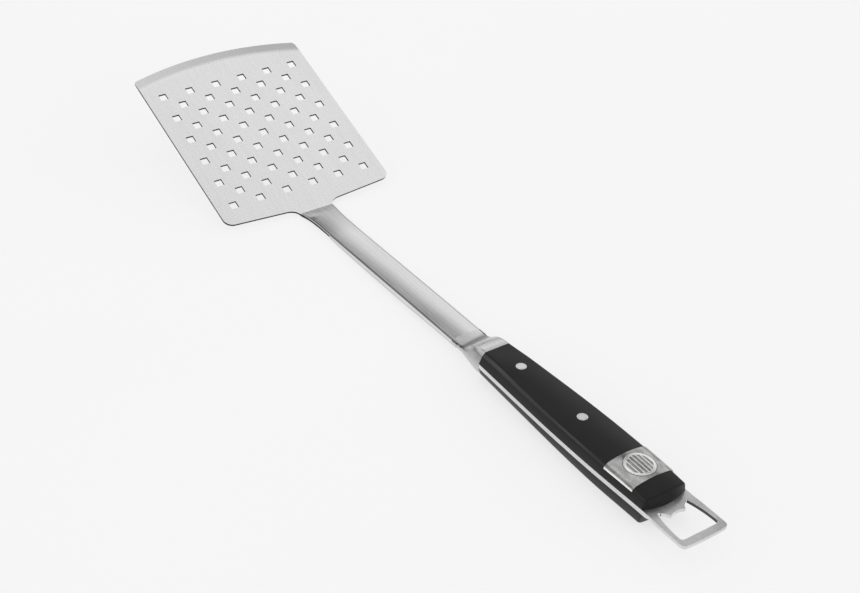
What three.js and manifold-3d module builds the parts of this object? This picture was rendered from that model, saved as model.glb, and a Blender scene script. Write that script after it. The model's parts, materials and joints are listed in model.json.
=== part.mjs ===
// Grill spatula: a perforated steel turner blade on a forged shaft, and a riveted full-tang handle
// whose tang runs on past the scales as a bottle opener.
//
// Lengths are millimetres. The pieces are shaped with the shaft level: X runs along the shaft
// towards the bottle opener, Z is up, and the blade bends upwards at X = 0, where the top of its
// sheet is Z = 0. At the end the whole tool is tipped back a little, so that the heel of the blade
// and the underside of the handle both rest on Z = 0.

import * as THREE from 'three';
import { mergeGeometries, mergeVertices } from 'three/addons/utils/BufferGeometryUtils.js';
import Module from 'manifold-3d';

const wasm = await Module();
wasm.setup();

// ---------------------------------------------------------------- driving dimensions

const GAP = 0.3; // clearance between neighbouring pieces
const ROUND_STEPS = 32; // sides of a rivet

// Blade: distances along the sheet are measured forward from the bend.
const BLADE_RISE = THREE.MathUtils.degToRad(20.6); // slope of the blade above the shaft
const SHEET = 1.2; // thickness of the blade sheet
const BLADE_HALF_WIDTH = 55;
const BLADE_CORNER_REACH = 124; // bend to the front corners
const BLADE_TIP_REACH = 131; // bend to the middle of the curved front edge
const BLADE_CORNER_CUT = 3.5; // rounding of the front corners
const BLADE_HEEL_REACH = 7; // bend to the rear corners
const BLADE_NECK_REACH = 4; // bend to the rear edge beside the neck
const BLADE_HEEL_RADIUS = 5;
const ARC_STEPS = 240; // steps of a full turn round the front edge's centre
const BEYOND = 20; // reaches past any surface, for blocks that cut
const BEVEL_WIDTH = 7.6; // ground bevel along the front edge
const BEVEL_EDGE = 0.5; // sheet thickness left at the very edge
const HOLE_SIDE = 4.7; // square perforations
const HOLE_PITCH = 17.6;
const FIRST_HOLE_ROW = 19.25; // bend to the nearest row of six
const HOLE_ROWS = 6;
const BEND_RADIUS = 5; // at the top face of the sheet
const NECK_HALF_WIDTH = 10.7; // at the bend
const TONGUE_HALF_WIDTH = 8.6;
const TONGUE_END = 28; // the sheet's tongue, welded under the nose of the shaft

// Shaft
const SHAFT_HALF_WIDTH = 8.85;
const SHAFT_FRONT = 1.2;
const BOLSTER_FRONT = 150.5;
const SHAFT_TENON_END = 158; // the shaft's end, inside the bolster

// Handle
const BOLSTER_LAND = 168.5; // where the flare ends and the level land starts
const BOLSTER_REAR = 171.4;
const TANG_TOP = 3.3;
const TANG_BOTTOM = 0.8;
const TANG_TENON_FRONT = 160.5;
const TANG_TENON_HALF_WIDTH = 6.8;
const SCALE_END = 297.5; // corners of the scales' rear ends
const SCALE_FOOT_BULGE = 3; // how far the rear end bows out at the tang
const SCALE_TOP_BULGE = 1.4; // and at its outer face
const LOWER_END_RAKE = 3.5; // how far the lower scale's end slants back under the tang
const REST_SLOPE = THREE.MathUtils.degToRad(1.4); // shaft to the plane that the tool lies on

// Rivets: two-part, a headed stud from above in a headed sleeve from below.
const RIVET_FIRST_X = 191;
const RIVET_PITCH = 47.4;
const RIVET_NAMES = ['front', 'middle', 'rear'];
const RIVET_HEAD_RADIUS = 2.9;
const RIVET_HEAD_HEIGHT = 1.4;
const STUD_RADIUS = 1.5;
const SLEEVE_RADIUS = 2.4;
const SLEEVE_BORE_RADIUS = STUD_RADIUS + GAP;

// Badge, let into the top of the upper scale over the rear rivet
const BADGE_FRONT = 269.9;
const BADGE_REAR = 289.2;
const BADGE_PROUD = 0.3;
const BADGE_DEPTH = 1;
const BADGE_FLOOR = 7.7; // lowest level that its turned-down long edges reach
const BADGE_PIN_RADIUS = 1.2;
const BADGE_PIN_X = 275.5;
const BADGE_PIN_Y = 7;
const BADGE_PIN_BOTTOM = 5.6;
const BADGE_PIN_TOP = 10.6; // inside the badge's thickness

// Bottle opener
const OPENER_END = 326.3;
const OPENER_HALF_WIDTH = 13.8;
const OPENER_CORNER_RADIUS = 4;
const OPENING_FRONT = 303.2;
const OPENING_REAR = 321.9;
const TOOTH_TIP_X = 307.2;
const TOOTH_TIP_Y = 4.5;

// ---------------------------------------------------------------- smooth curves along the handle

// A smooth function of x through [x, value] pairs: cubic pieces whose slopes are central differences.
function through(...pairs) {
  const slopeAt = (i) => {
    const before = pairs[Math.max(i - 1, 0)];
    const after = pairs[Math.min(i + 1, pairs.length - 1)];
    return (after[1] - before[1]) / (after[0] - before[0]);
  };
  return (x) => {
    const clamped = THREE.MathUtils.clamp(x, pairs[0][0], pairs[pairs.length - 1][0]);
    const i = Math.max(pairs.findIndex((pair) => clamped <= pair[0]) - 1, 0);
    const [x0, value0] = pairs[i];
    const [x1, value1] = pairs[i + 1];
    const span = x1 - x0;
    const t = (clamped - x0) / span;
    const rise = t * t * (3 - 2 * t);
    const bendIn = t * (1 - t) * (1 - t) * slopeAt(i) * span;
    const bendOut = t * t * (1 - t) * slopeAt(i + 1) * span;
    return value0 + (value1 - value0) * rise + bendIn - bendOut;
  };
}

const shaftTop = through([0, 0.6], [8, 1.8], [30, 1.7], [80, 2], [120, 2.2], [160, 2.1]);
const shaftBottom = through([28, -1.5], [60, -2.3], [100, -2.3], [140, -1.6], [160, -1.6]);
const halfWidth = through([171.4, 11.1], [200, 12.4], [230, 13.6], [262, 14], [298, 13.4], [308, 13.8]);
const upperShoulder = through([171.4, 7.4], [195, 7.6], [240, 7.9], [265, 8.3], [286, 8.3], [299, 7.6]);
const upperCrest = through([171.4, 9.2], [190, 10.2], [240, 10.9], [270, 11.3], [288, 10.8], [299, 9.4]);
const upperEdgeShare = through([171.4, 1], [200, 0.7], [245, 0.5], [299, 0.5]); // shoulder to crest
const lowerShoulder = through([171.4, -4], [220, -5.2], [250, -6.4], [272, -7.1], [299, -7.2]);

// How far in from the tang's edge the shoulders and the edges of the top and bottom faces lie.
const shoulderInset = through([171.4, 1.9], [195, 1.35], [215, 1.1], [299, 1.1]);
const topEdgeInset = through([171.4, 3.7], [200, 3], [245, 2.3], [272, 2.8], [299, 2.4]);
const LOWER_SHOULDER_INSET = 1.8;
const BOTTOM_EDGE_INSET = 3.5;

// Height of the plane that the tool lies on, seen with the shaft level.
const restHeight = (x) => -SHEET - x * Math.tan(REST_SLOPE);

// ---------------------------------------------------------------- small geometry helpers

// Turns three.js geometry into a solid that can be cut and joined. Triangles that shrink to a line
// when close vertices are merged are left out.
function solid(geometry) {
  const bare = geometry.clone();
  bare.deleteAttribute('normal');
  bare.deleteAttribute('uv');
  const merged = mergeVertices(bare, 1e-4);
  const corners = [];
  for (let i = 0; i < merged.index.count; i += 3) {
    const [a, b, c] = merged.index.array.slice(i, i + 3);
    if (a !== b && b !== c && c !== a) {
      corners.push(a, b, c);
    }
  }
  return new wasm.Manifold(
    new wasm.Mesh({
      numProp: 3,
      vertProperties: new Float32Array(merged.attributes.position.array),
      triVerts: new Uint32Array(corners),
    }),
  );
}

// Turns a solid back into geometry.
function geometryOf(body) {
  const { vertProperties, triVerts } = body.getMesh();
  const geometry = new THREE.BufferGeometry();
  geometry.setAttribute('position', new THREE.BufferAttribute(new Float32Array(vertProperties), 3));
  geometry.setIndex(new THREE.BufferAttribute(new Uint32Array(triVerts), 1));
  geometry.computeVertexNormals();
  return geometry;
}

// A plan outline in X and Y, made solid from one height to another.
function plate(shape, bottom, top, curveSegments = 12) {
  const geometry = new THREE.ExtrudeGeometry(shape, {
    depth: top - bottom,
    bevelEnabled: false,
    curveSegments,
  });
  return geometry.translate(0, 0, bottom);
}

// A side-view outline in X and Z, made solid across the tool.
function slab(shape, sideHalfWidth) {
  const depth = 2 * sideHalfWidth;
  const geometry = new THREE.ExtrudeGeometry(shape, { depth, bevelEnabled: false, curveSegments: 12 });
  return geometry.translate(0, 0, -sideHalfWidth).rotateX(Math.PI / 2);
}

// A cross-section in Y and Z carried along X as a unit length, then moved point by point.
function loft(section, steps, place) {
  const geometry = new THREE.ExtrudeGeometry(section, { depth: 1, steps, bevelEnabled: false });
  const position = geometry.attributes.position;
  const point = new THREE.Vector3();
  for (let i = 0; i < position.count; i += 1) {
    point.fromBufferAttribute(position, i);
    const moved = place(point.z, point.x, point.y);
    position.setXYZ(i, moved[0], moved[1], moved[2]);
  }
  return geometry;
}

// An upright round bar from [radius, height] pairs, from its bottom to its top.
function turned(x, profile) {
  const points = profile.map(([radius, height]) => new THREE.Vector2(radius, height));
  return new THREE.LatheGeometry(points, ROUND_STEPS).rotateX(Math.PI / 2).translate(x, 0, 0);
}

// A box from its lowest corner to its highest one.
function block(low, high) {
  const size = high.map((value, i) => value - low[i]);
  const centre = high.map((value, i) => (value + low[i]) / 2);
  return new THREE.BoxGeometry(...size).translate(...centre);
}

// ---------------------------------------------------------------- materials

const steel = (color, roughness) => new THREE.MeshStandardMaterial({ color, roughness, metalness: 1 });
const brushedSteel = steel(0xc9cac8, 0.38);
const shaftSteel = steel(0xb9bab7, 0.32);
const castSteel = steel(0xb4b4b1, 0.3);
const satinSteel = steel(0xbfc0be, 0.42);
const rivetSteel = steel(0xc8c8c6, 0.3);
const scaleMaterial = new THREE.MeshStandardMaterial({ color: 0x1c1c1d, roughness: 0.5, metalness: 0 });

function piece(name, geometry, material) {
  const mesh = new THREE.Mesh(geometry, material);
  mesh.name = name;
  return mesh;
}

// ---------------------------------------------------------------- blade

const ARC_SAGITTA = BLADE_TIP_REACH - BLADE_CORNER_REACH;
const ARC_RADIUS = (BLADE_HALF_WIDTH ** 2 + ARC_SAGITTA ** 2) / (2 * ARC_SAGITTA);
const ARC_CENTRE = -(BLADE_TIP_REACH - ARC_RADIUS); // x of the centre of the front edge's arc

// Flat outline of the blade, with its front at negative x and the bend at x = 0.
function bladeOutline() {
  const w = BLADE_HALF_WIDTH;
  const corner = BLADE_CORNER_CUT;
  const front = -BLADE_CORNER_REACH;
  const heel = -BLADE_HEEL_REACH;
  const overBend = 1; // the outline runs on into the bend, where it joins the tongue
  const half = Math.asin((w - corner) / ARC_RADIUS);
  const outline = new THREE.Shape();
  outline.moveTo(overBend, -NECK_HALF_WIDTH);
  outline.quadraticCurveTo(-2.4, -NECK_HALF_WIDTH - 0.4, -BLADE_NECK_REACH, -18);
  outline.lineTo(heel + 0.6, -w + BLADE_HEEL_RADIUS);
  outline.quadraticCurveTo(heel, -w, heel - BLADE_HEEL_RADIUS, -w);
  outline.lineTo(front + corner, -w);
  outline.quadraticCurveTo(front, -w, ARC_CENTRE - ARC_RADIUS * Math.cos(half), -w + corner);
  outline.absarc(ARC_CENTRE, 0, ARC_RADIUS, Math.PI + half, Math.PI - half, true);
  outline.quadraticCurveTo(front, w, front + corner, w);
  outline.lineTo(heel - BLADE_HEEL_RADIUS, w);
  outline.quadraticCurveTo(heel, w, heel + 0.6, w - BLADE_HEEL_RADIUS);
  outline.lineTo(-BLADE_NECK_REACH, 18);
  outline.quadraticCurveTo(-2.4, NECK_HALF_WIDTH + 0.4, overBend, NECK_HALF_WIDTH);
  outline.closePath();
  return outline;
}

// Square punches for the perforations. Rows of six alternate with rows of five, half a pitch apart.
function holePunches() {
  const h = HOLE_SIDE / 2;
  const punches = [];
  for (let row = 0; row < 2 * HOLE_ROWS - 1; row += 1) {
    const x = -(FIRST_HOLE_ROW + (row * HOLE_PITCH) / 2);
    const count = HOLE_ROWS - (row % 2);
    for (let i = 0; i < count; i += 1) {
      const y = (i - (count - 1) / 2) * HOLE_PITCH;
      punches.push(block([x - h, y - h, -SHEET - 1], [x + h, y + h, 1]));
    }
  }
  return mergeGeometries(punches);
}

// The ground bevel is part of a cone round the centre of the front edge's arc.
function bevelCutter() {
  const inner = ARC_RADIUS - BEVEL_WIDTH;
  const outer = ARC_RADIUS + 1;
  const slope = (SHEET - BEVEL_EDGE) / BEVEL_WIDTH;
  const profile = [
    new THREE.Vector2(inner, 0),
    new THREE.Vector2(outer, -slope * (outer - inner)),
    new THREE.Vector2(outer, 2),
    new THREE.Vector2(inner, 2),
    new THREE.Vector2(inner, 0),
  ];
  return new THREE.LatheGeometry(profile, ARC_STEPS).rotateX(Math.PI / 2).translate(ARC_CENTRE, 0, 0);
}

// Side view of the bend and the tongue: an arc of the sheet, then its level end.
function tongueProfile() {
  const r = BEND_RADIUS;
  const reach = r * Math.tan(BLADE_RISE / 2);
  const profile = new THREE.Shape();
  profile.absarc(reach, r, r + SHEET, -Math.PI / 2 - BLADE_RISE, -Math.PI / 2, false);
  profile.lineTo(TONGUE_END, -SHEET);
  profile.lineTo(TONGUE_END, 0);
  profile.absarc(reach, r, r, -Math.PI / 2, -Math.PI / 2 - BLADE_RISE, true);
  profile.closePath();
  return profile;
}

function tonguePlan() {
  const plan = new THREE.Shape();
  plan.moveTo(-8, -NECK_HALF_WIDTH);
  plan.lineTo(1, -NECK_HALF_WIDTH);
  plan.quadraticCurveTo(5, -TONGUE_HALF_WIDTH, 9, -TONGUE_HALF_WIDTH);
  plan.lineTo(TONGUE_END + 1, -TONGUE_HALF_WIDTH);
  plan.lineTo(TONGUE_END + 1, TONGUE_HALF_WIDTH);
  plan.lineTo(9, TONGUE_HALF_WIDTH);
  plan.quadraticCurveTo(5, TONGUE_HALF_WIDTH, 1, NECK_HALF_WIDTH);
  plan.lineTo(-8, NECK_HALF_WIDTH);
  plan.closePath();
  return plan;
}

function blade() {
  const reach = BEND_RADIUS * Math.tan(BLADE_RISE / 2);
  const sheet = solid(plate(bladeOutline(), -SHEET, 0, 10))
    .subtract(solid(bevelCutter()))
    .subtract(solid(holePunches()))
    .subtract(solid(block([-reach, -2 * BEYOND, -SHEET - 1], [BEYOND, 2 * BEYOND, 1])));
  const raised = geometryOf(sheet).rotateY(BLADE_RISE);
  const tongue = solid(slab(tongueProfile(), BEYOND)).intersect(solid(plate(tonguePlan(), -5, 5)));
  return piece('blade', geometryOf(solid(raised).add(tongue)), brushedSteel);
}

// ---------------------------------------------------------------- shaft

// Side view of the shaft: a nose that laps the blade's tongue, the bar, and the tenon.
function shaftProfile() {
  const steps = 24;
  const profile = new THREE.Shape();
  profile.moveTo(SHAFT_FRONT, GAP);
  profile.lineTo(TONGUE_END + GAP, GAP);
  for (let i = 0; i <= steps; i += 1) {
    const x = THREE.MathUtils.lerp(TONGUE_END + GAP, SHAFT_TENON_END, i / steps);
    profile.lineTo(x, shaftBottom(x));
  }
  for (let i = steps; i >= 0; i -= 1) {
    const x = THREE.MathUtils.lerp(SHAFT_FRONT, SHAFT_TENON_END, i / steps);
    profile.lineTo(x, shaftTop(x));
  }
  profile.closePath();
  return profile;
}

function shaft() {
  return piece('shaft', slab(shaftProfile(), SHAFT_HALF_WIDTH), shaftSteel);
}

// ---------------------------------------------------------------- bolster

// A section to be lofted, one unit to each side. Its corners are numbered by level from the bottom
// face up. The points between the corners of those two faces bow out by less than half a level, so
// that no three lie on one line, and rounding gives the level back.
function levelledSection(levelCount) {
  const across = [-1, -0.75, -0.5, -0.25, 0, 0.25, 0.5, 0.75, 1];
  const bow = (side) => 0.3 * (1 - side * side);
  const last = levelCount - 1;
  const between = Array.from({ length: last - 1 }, (_, i) => i + 1);
  const points = [
    ...across.map((side) => [side, -bow(side)]),
    ...between.map((level) => [1, level]),
    ...[...across].reverse().map((side) => [side, last + bow(side)]),
    ...[...between].reverse().map((level) => [-1, level]),
  ];
  return new THREE.Shape(points.map(([side, level]) => new THREE.Vector2(side, level)));
}

// Each corner goes from the shaft's outline to the handle's. The top and bottom faces start to
// flare later than the sides, which leaves a hollow behind the shaft.
function bolsterBlank() {
  const x1 = BOLSTER_REAR;
  const w = halfWidth(x1);
  const skin = 0.3; // how far the front of the bolster stands proud of the shaft
  const low = shaftBottom(BOLSTER_FRONT) - skin;
  const high = shaftTop(BOLSTER_FRONT) + skin;
  const side = SHAFT_HALF_WIDTH + skin;
  const corners = [
    { front: [side - 1, low], rear: [w - BOTTOM_EDGE_INSET, restHeight(x1) + 0.1], lag: 1.2 },
    { front: [side, low + 1], rear: [w - LOWER_SHOULDER_INSET, lowerShoulder(x1)], lag: 1 },
    { front: [side, low + 1.6], rear: [w, TANG_BOTTOM], lag: 1 },
    { front: [side, high - 1.6], rear: [w, TANG_TOP], lag: 1 },
    { front: [side, high - 1], rear: [w - shoulderInset(x1), upperShoulder(x1)], lag: 1 },
    { front: [side - 1, high], rear: [w - topEdgeInset(x1), upperCrest(x1)], lag: 1.5 },
  ];
  return loft(levelledSection(6), 24, (t, across, level) => {
    const x = THREE.MathUtils.lerp(BOLSTER_FRONT, x1, t);
    const { front, rear, lag } = corners[Math.round(level)];
    const flare = THREE.MathUtils.smoothstep(x, BOLSTER_FRONT, BOLSTER_LAND) ** lag;
    const y = THREE.MathUtils.lerp(front[0], rear[0], flare);
    return [x, across * y, THREE.MathUtils.lerp(front[1], rear[1], flare)];
  });
}

function bolster() {
  const shaftSocket = block(
    [BOLSTER_FRONT - 1, -SHAFT_HALF_WIDTH - GAP, shaftBottom(BOLSTER_FRONT) - GAP],
    [SHAFT_TENON_END + GAP, SHAFT_HALF_WIDTH + GAP, shaftTop(SHAFT_TENON_END) + GAP],
  );
  const tangSocket = block(
    [TANG_TENON_FRONT - GAP, -TANG_TENON_HALF_WIDTH - GAP, TANG_BOTTOM - GAP],
    [BOLSTER_REAR + 1, TANG_TENON_HALF_WIDTH + GAP, TANG_TOP + GAP],
  );
  const body = solid(bolsterBlank()).subtract(solid(shaftSocket)).subtract(solid(tangSocket));
  return piece('bolster', geometryOf(body), castSteel);
}

// ---------------------------------------------------------------- tang with bottle opener

function tangOutline() {
  const front = BOLSTER_REAR + GAP;
  const straight = 308; // from here on the sides run straight to the end
  const steps = 16;
  const r = OPENER_CORNER_RADIUS;
  const w = OPENER_HALF_WIDTH;
  const side = [];
  for (let i = 0; i <= steps; i += 1) {
    const x = THREE.MathUtils.lerp(front, straight, i / steps);
    side.push([x, halfWidth(x)]);
  }
  const outline = new THREE.Shape();
  outline.moveTo(TANG_TENON_FRONT, -TANG_TENON_HALF_WIDTH);
  outline.lineTo(front, -TANG_TENON_HALF_WIDTH);
  side.forEach(([x, y]) => outline.lineTo(x, -y));
  outline.lineTo(OPENER_END - r - 0.5, -w);
  outline.quadraticCurveTo(OPENER_END - 0.5, -w, OPENER_END - 0.4, -w + r);
  outline.quadraticCurveTo(OPENER_END + 0.4, 0, OPENER_END - 0.4, w - r);
  outline.quadraticCurveTo(OPENER_END - 0.5, w, OPENER_END - r - 0.5, w);
  side.reverse().forEach(([x, y]) => outline.lineTo(x, y));
  outline.lineTo(front, TANG_TENON_HALF_WIDTH);
  outline.lineTo(TANG_TENON_FRONT, TANG_TENON_HALF_WIDTH);
  outline.closePath();
  return outline;
}

// The opening: two teeth on the handle side, a scallop between them and a notch outside each.
function openerHole() {
  const wide = 11.3; // half width of the opening near its far end
  const corner = 2.2;
  const hole = new THREE.Path();
  hole.moveTo(OPENING_REAR, wide - corner);
  hole.quadraticCurveTo(OPENING_REAR, wide, OPENING_REAR - corner, wide);
  hole.quadraticCurveTo(311, 11.2, OPENING_FRONT, 9);
  hole.quadraticCurveTo(OPENING_FRONT - 0.6, 7.9, OPENING_FRONT + 0.9, 7);
  hole.quadraticCurveTo(OPENING_FRONT + 1.6, 5.6, TOOTH_TIP_X, TOOTH_TIP_Y);
  hole.quadraticCurveTo(TOOTH_TIP_X - 2.2, 0, TOOTH_TIP_X, -TOOTH_TIP_Y);
  hole.quadraticCurveTo(OPENING_FRONT + 1.6, -5.6, OPENING_FRONT + 0.9, -7);
  hole.quadraticCurveTo(OPENING_FRONT - 0.6, -7.9, OPENING_FRONT, -9);
  hole.quadraticCurveTo(311, -11.2, OPENING_REAR - corner, -wide);
  hole.quadraticCurveTo(OPENING_REAR, -wide, OPENING_REAR, -wide + corner);
  hole.closePath();
  return hole;
}

function rivetXs() {
  return RIVET_NAMES.map((_, i) => RIVET_FIRST_X + i * RIVET_PITCH);
}

// Round holes for the rivets, from below everything to above everything.
function drillRivetHoles(body) {
  return rivetXs().reduce((drilled, x) => {
    const drill = new THREE.CylinderGeometry(SLEEVE_RADIUS + GAP, SLEEVE_RADIUS + GAP, 2 * BEYOND, ROUND_STEPS);
    return drilled.subtract(solid(drill.rotateX(Math.PI / 2).translate(x, 0, 0)));
  }, body);
}

function tangWithBottleOpener() {
  const outline = tangOutline();
  outline.holes.push(openerHole());
  const body = drillRivetHoles(solid(plate(outline, TANG_BOTTOM, TANG_TOP, 8)));
  return piece('tang_with_bottle_opener', geometryOf(body), satinSteel);
}

// ---------------------------------------------------------------- scales

// Where the rear end lies at a point across the scale: side is -1 to 1, rise 0 at the tang to 1.
function scaleEnd(side, rise) {
  const bulge = THREE.MathUtils.lerp(SCALE_FOOT_BULGE, SCALE_TOP_BULGE, rise);
  return SCALE_END + bulge * (1 - side * side);
}

// The upper scale's outer form, grown outwards by `grow`: foot, shoulder, top edge and a crown.
function upperScaleForm(grow = 0) {
  return loft(levelledSection(3), 30, (t, side, level) => {
    const i = Math.round(level);
    const x = THREE.MathUtils.lerp(BOLSTER_REAR + GAP, scaleEnd(side, i / 2), t);
    const shoulder = upperShoulder(x);
    const crest = upperCrest(x);
    const edge = shoulder + upperEdgeShare(x) * (crest - shoulder);
    const insets = [0, shoulderInset(x), topEdgeInset(x)];
    const heights = [TANG_TOP + GAP, shoulder + grow, edge + (crest - edge) * (1 - side * side) + grow];
    return [x, side * (halfWidth(x) - insets[i] + grow), heights[i]];
  });
}

// Everything between the badge's ends and above its floor, with a margin all round.
function badgeZone(margin) {
  return block([BADGE_FRONT - margin, -BEYOND, BADGE_FLOOR - margin], [BADGE_REAR + margin, BEYOND, BEYOND]);
}

function badgePin(side, radius, bottom) {
  const height = BADGE_PIN_TOP - bottom;
  const pin = new THREE.CylinderGeometry(radius, radius, height, 16).rotateX(Math.PI / 2);
  return solid(pin.translate(BADGE_PIN_X, side * BADGE_PIN_Y, bottom + height / 2));
}

function badge() {
  const outer = solid(upperScaleForm(BADGE_PROUD)).intersect(solid(badgeZone(0)));
  const shell = outer.subtract(solid(upperScaleForm(BADGE_PROUD - BADGE_DEPTH)));
  const pins = [-1, 1].map((side) => badgePin(side, BADGE_PIN_RADIUS, BADGE_PIN_BOTTOM));
  return piece('badge', geometryOf(shell.add(pins[0]).add(pins[1])), satinSteel);
}

// The pocket that the badge sits in, and the holes for its pins.
function badgePocket() {
  const recess = solid(badgeZone(GAP)).subtract(solid(upperScaleForm(BADGE_PROUD - BADGE_DEPTH - GAP)));
  const holes = [-1, 1].map((side) => badgePin(side, BADGE_PIN_RADIUS + GAP, BADGE_PIN_BOTTOM - GAP));
  return recess.add(holes[0]).add(holes[1]);
}

// Height of a rivet's upper face: level with the crest, or under the badge.
function rivetTop(x) {
  const underBadge = x > BADGE_FRONT;
  return underBadge ? upperCrest(x) - BADGE_DEPTH - 3 * GAP : upperCrest(x) + 0.1;
}

const rivetBottom = (x) => restHeight(x) + 0.25;

function headRecess(x, from, to) {
  const radius = RIVET_HEAD_RADIUS + GAP;
  const drill = new THREE.CylinderGeometry(radius, radius, to - from, ROUND_STEPS);
  return solid(drill.rotateX(Math.PI / 2).translate(x, 0, (from + to) / 2));
}

function upperScale() {
  let body = drillRivetHoles(solid(upperScaleForm())).subtract(badgePocket());
  rivetXs().forEach((x) => {
    body = body.subtract(headRecess(x, rivetTop(x) - RIVET_HEAD_HEIGHT - GAP, BEYOND));
  });
  return piece('upper_scale', geometryOf(body), scaleMaterial);
}

function lowerScale() {
  const form = loft(levelledSection(3), 30, (t, side, level) => {
    const i = Math.round(level);
    const drop = 1 - i / 2;
    const end = scaleEnd(side, drop) - LOWER_END_RAKE * drop;
    const x = THREE.MathUtils.lerp(BOLSTER_REAR + GAP, end, t);
    const insets = [BOTTOM_EDGE_INSET, LOWER_SHOULDER_INSET, 0];
    const heights = [restHeight(x), lowerShoulder(x), TANG_BOTTOM - GAP];
    return [x, side * (halfWidth(x) - insets[i]), heights[i]];
  });
  let body = drillRivetHoles(solid(form));
  rivetXs().forEach((x) => {
    body = body.subtract(headRecess(x, -BEYOND, rivetBottom(x) + RIVET_HEAD_HEIGHT + GAP));
  });
  return piece('lower_scale', geometryOf(body), scaleMaterial);
}

// ---------------------------------------------------------------- rivets

function rivetStud(name, x) {
  const top = rivetTop(x);
  const under = top - RIVET_HEAD_HEIGHT;
  const tip = rivetBottom(x) + RIVET_HEAD_HEIGHT + GAP;
  const profile = [
    [0, tip],
    [STUD_RADIUS, tip],
    [STUD_RADIUS, under],
    [RIVET_HEAD_RADIUS, under],
    [RIVET_HEAD_RADIUS, top],
    [0, top],
  ];
  return piece(`${name}_rivet_stud`, turned(x, profile), rivetSteel);
}

function rivetSleeve(name, x) {
  const bottom = rivetBottom(x);
  const shoulder = bottom + RIVET_HEAD_HEIGHT;
  const mouth = rivetTop(x) - RIVET_HEAD_HEIGHT - GAP;
  const profile = [
    [0, bottom],
    [RIVET_HEAD_RADIUS, bottom],
    [RIVET_HEAD_RADIUS, shoulder],
    [SLEEVE_RADIUS, shoulder],
    [SLEEVE_RADIUS, mouth],
    [SLEEVE_BORE_RADIUS, mouth],
    [SLEEVE_BORE_RADIUS, shoulder],
    [0, shoulder],
  ];
  return piece(`${name}_rivet_sleeve`, turned(x, profile), rivetSteel);
}

// ---------------------------------------------------------------- the whole tool

const tool = new THREE.Group();
tool.add(blade(), shaft(), bolster(), tangWithBottleOpener(), upperScale(), lowerScale(), badge());
RIVET_NAMES.forEach((name, i) => {
  const x = rivetXs()[i];
  tool.add(rivetStud(name, x), rivetSleeve(name, x));
});

// Tip the tool on to its resting plane, then put the middle of its underside at the origin.
tool.rotation.y = -REST_SLOPE;
const grillSpatula = new THREE.Group();
grillSpatula.add(tool);
grillSpatula.updateMatrixWorld(true);
const extent = new THREE.Box3().setFromObject(grillSpatula, true);
const middle = extent.getCenter(new THREE.Vector3());
tool.position.set(-middle.x, -middle.y, -extent.min.z);

export default grillSpatula;
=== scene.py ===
# %% [markdown]
# # A grill spatula, finished in Blender
# The tool is a perforated steel turner on a long forged shaft, with a riveted handle and a bottle
# opener behind it. Its plain solids already exist as a packed CAD model, in metres. This lesson
# loads that model as a fixed frame and lays a finer, better lit and better finished skin over it.
# Every new piece is a surface worked out with numpy: a grid of points from a formula. That way one
# can read how a shape comes about, and change one number to change it.

import json

import bmesh
import bpy
import numpy as np
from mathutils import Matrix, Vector


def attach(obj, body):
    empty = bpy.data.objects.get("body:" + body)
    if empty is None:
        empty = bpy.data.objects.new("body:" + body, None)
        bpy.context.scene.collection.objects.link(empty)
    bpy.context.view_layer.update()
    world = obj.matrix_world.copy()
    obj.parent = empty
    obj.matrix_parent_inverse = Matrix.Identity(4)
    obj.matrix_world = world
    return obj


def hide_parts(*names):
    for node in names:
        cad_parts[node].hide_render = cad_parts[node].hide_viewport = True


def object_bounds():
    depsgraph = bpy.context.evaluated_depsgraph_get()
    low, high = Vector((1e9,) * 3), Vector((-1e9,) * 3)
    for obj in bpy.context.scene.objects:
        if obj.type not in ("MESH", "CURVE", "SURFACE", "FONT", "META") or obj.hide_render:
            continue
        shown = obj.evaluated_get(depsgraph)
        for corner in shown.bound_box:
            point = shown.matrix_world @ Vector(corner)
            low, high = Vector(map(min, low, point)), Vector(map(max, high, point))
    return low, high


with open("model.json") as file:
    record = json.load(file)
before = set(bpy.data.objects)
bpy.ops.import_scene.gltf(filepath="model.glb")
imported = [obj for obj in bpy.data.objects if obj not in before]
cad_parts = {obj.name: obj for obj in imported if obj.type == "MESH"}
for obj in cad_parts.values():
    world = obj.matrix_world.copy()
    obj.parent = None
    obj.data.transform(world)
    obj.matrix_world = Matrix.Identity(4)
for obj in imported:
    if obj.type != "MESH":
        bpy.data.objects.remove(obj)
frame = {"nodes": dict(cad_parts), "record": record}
cad_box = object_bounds()
print("CAD box, metres:", [[round(value, 4) for value in corner] for corner in cad_box])

# %% [markdown]
# ## A handy frame to shape things in
# The tool lies tipped back a little, on the heel of its blade and on its handle. Shapes are easier
# to describe with the shaft level, so all formulas below are in millimetres in a "level" frame: x
# runs along the shaft to the bottle opener, y across, z up, and the blade bends up at x = 0. The
# record's mounts say how that frame lies in the model: the mount on the opener's end bar has the
# tang's upward direction as its axis.

# %% From the level frame, in millimetres, to the model, in metres
MM = 0.001
TANG_TOP = 3.3  # level height of the tang's upper face
END_BAR_X = 324.3  # level x of the mount on the opener's end bar

mounts = {mount["name"]: mount for mount in frame["record"]["mounts"]}
end_bar = mounts["bottle_cap_bar_face"]
UP = np.array(end_bar["axis"])
ALONG = np.array([UP[2], 0.0, -UP[0]])
ACROSS = np.array([0.0, 1.0, 0.0])
ORIGIN = np.array(end_bar["pos_m"]) - MM * (END_BAR_X * ALONG + TANG_TOP * UP)
REST_SLOPE = np.arctan2(-UP[0], UP[2])


def to_model(points):
    """Level millimetres to model metres: origin + x * along + y * across + z * up."""
    x, y, z = np.moveaxis(MM * np.asarray(points, float), -1, 0)[..., None]
    return ORIGIN + x * ALONG + y * ACROSS + z * UP


print("the shaft rises by", round(float(np.degrees(REST_SLOPE)), 2), "degrees")

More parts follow.
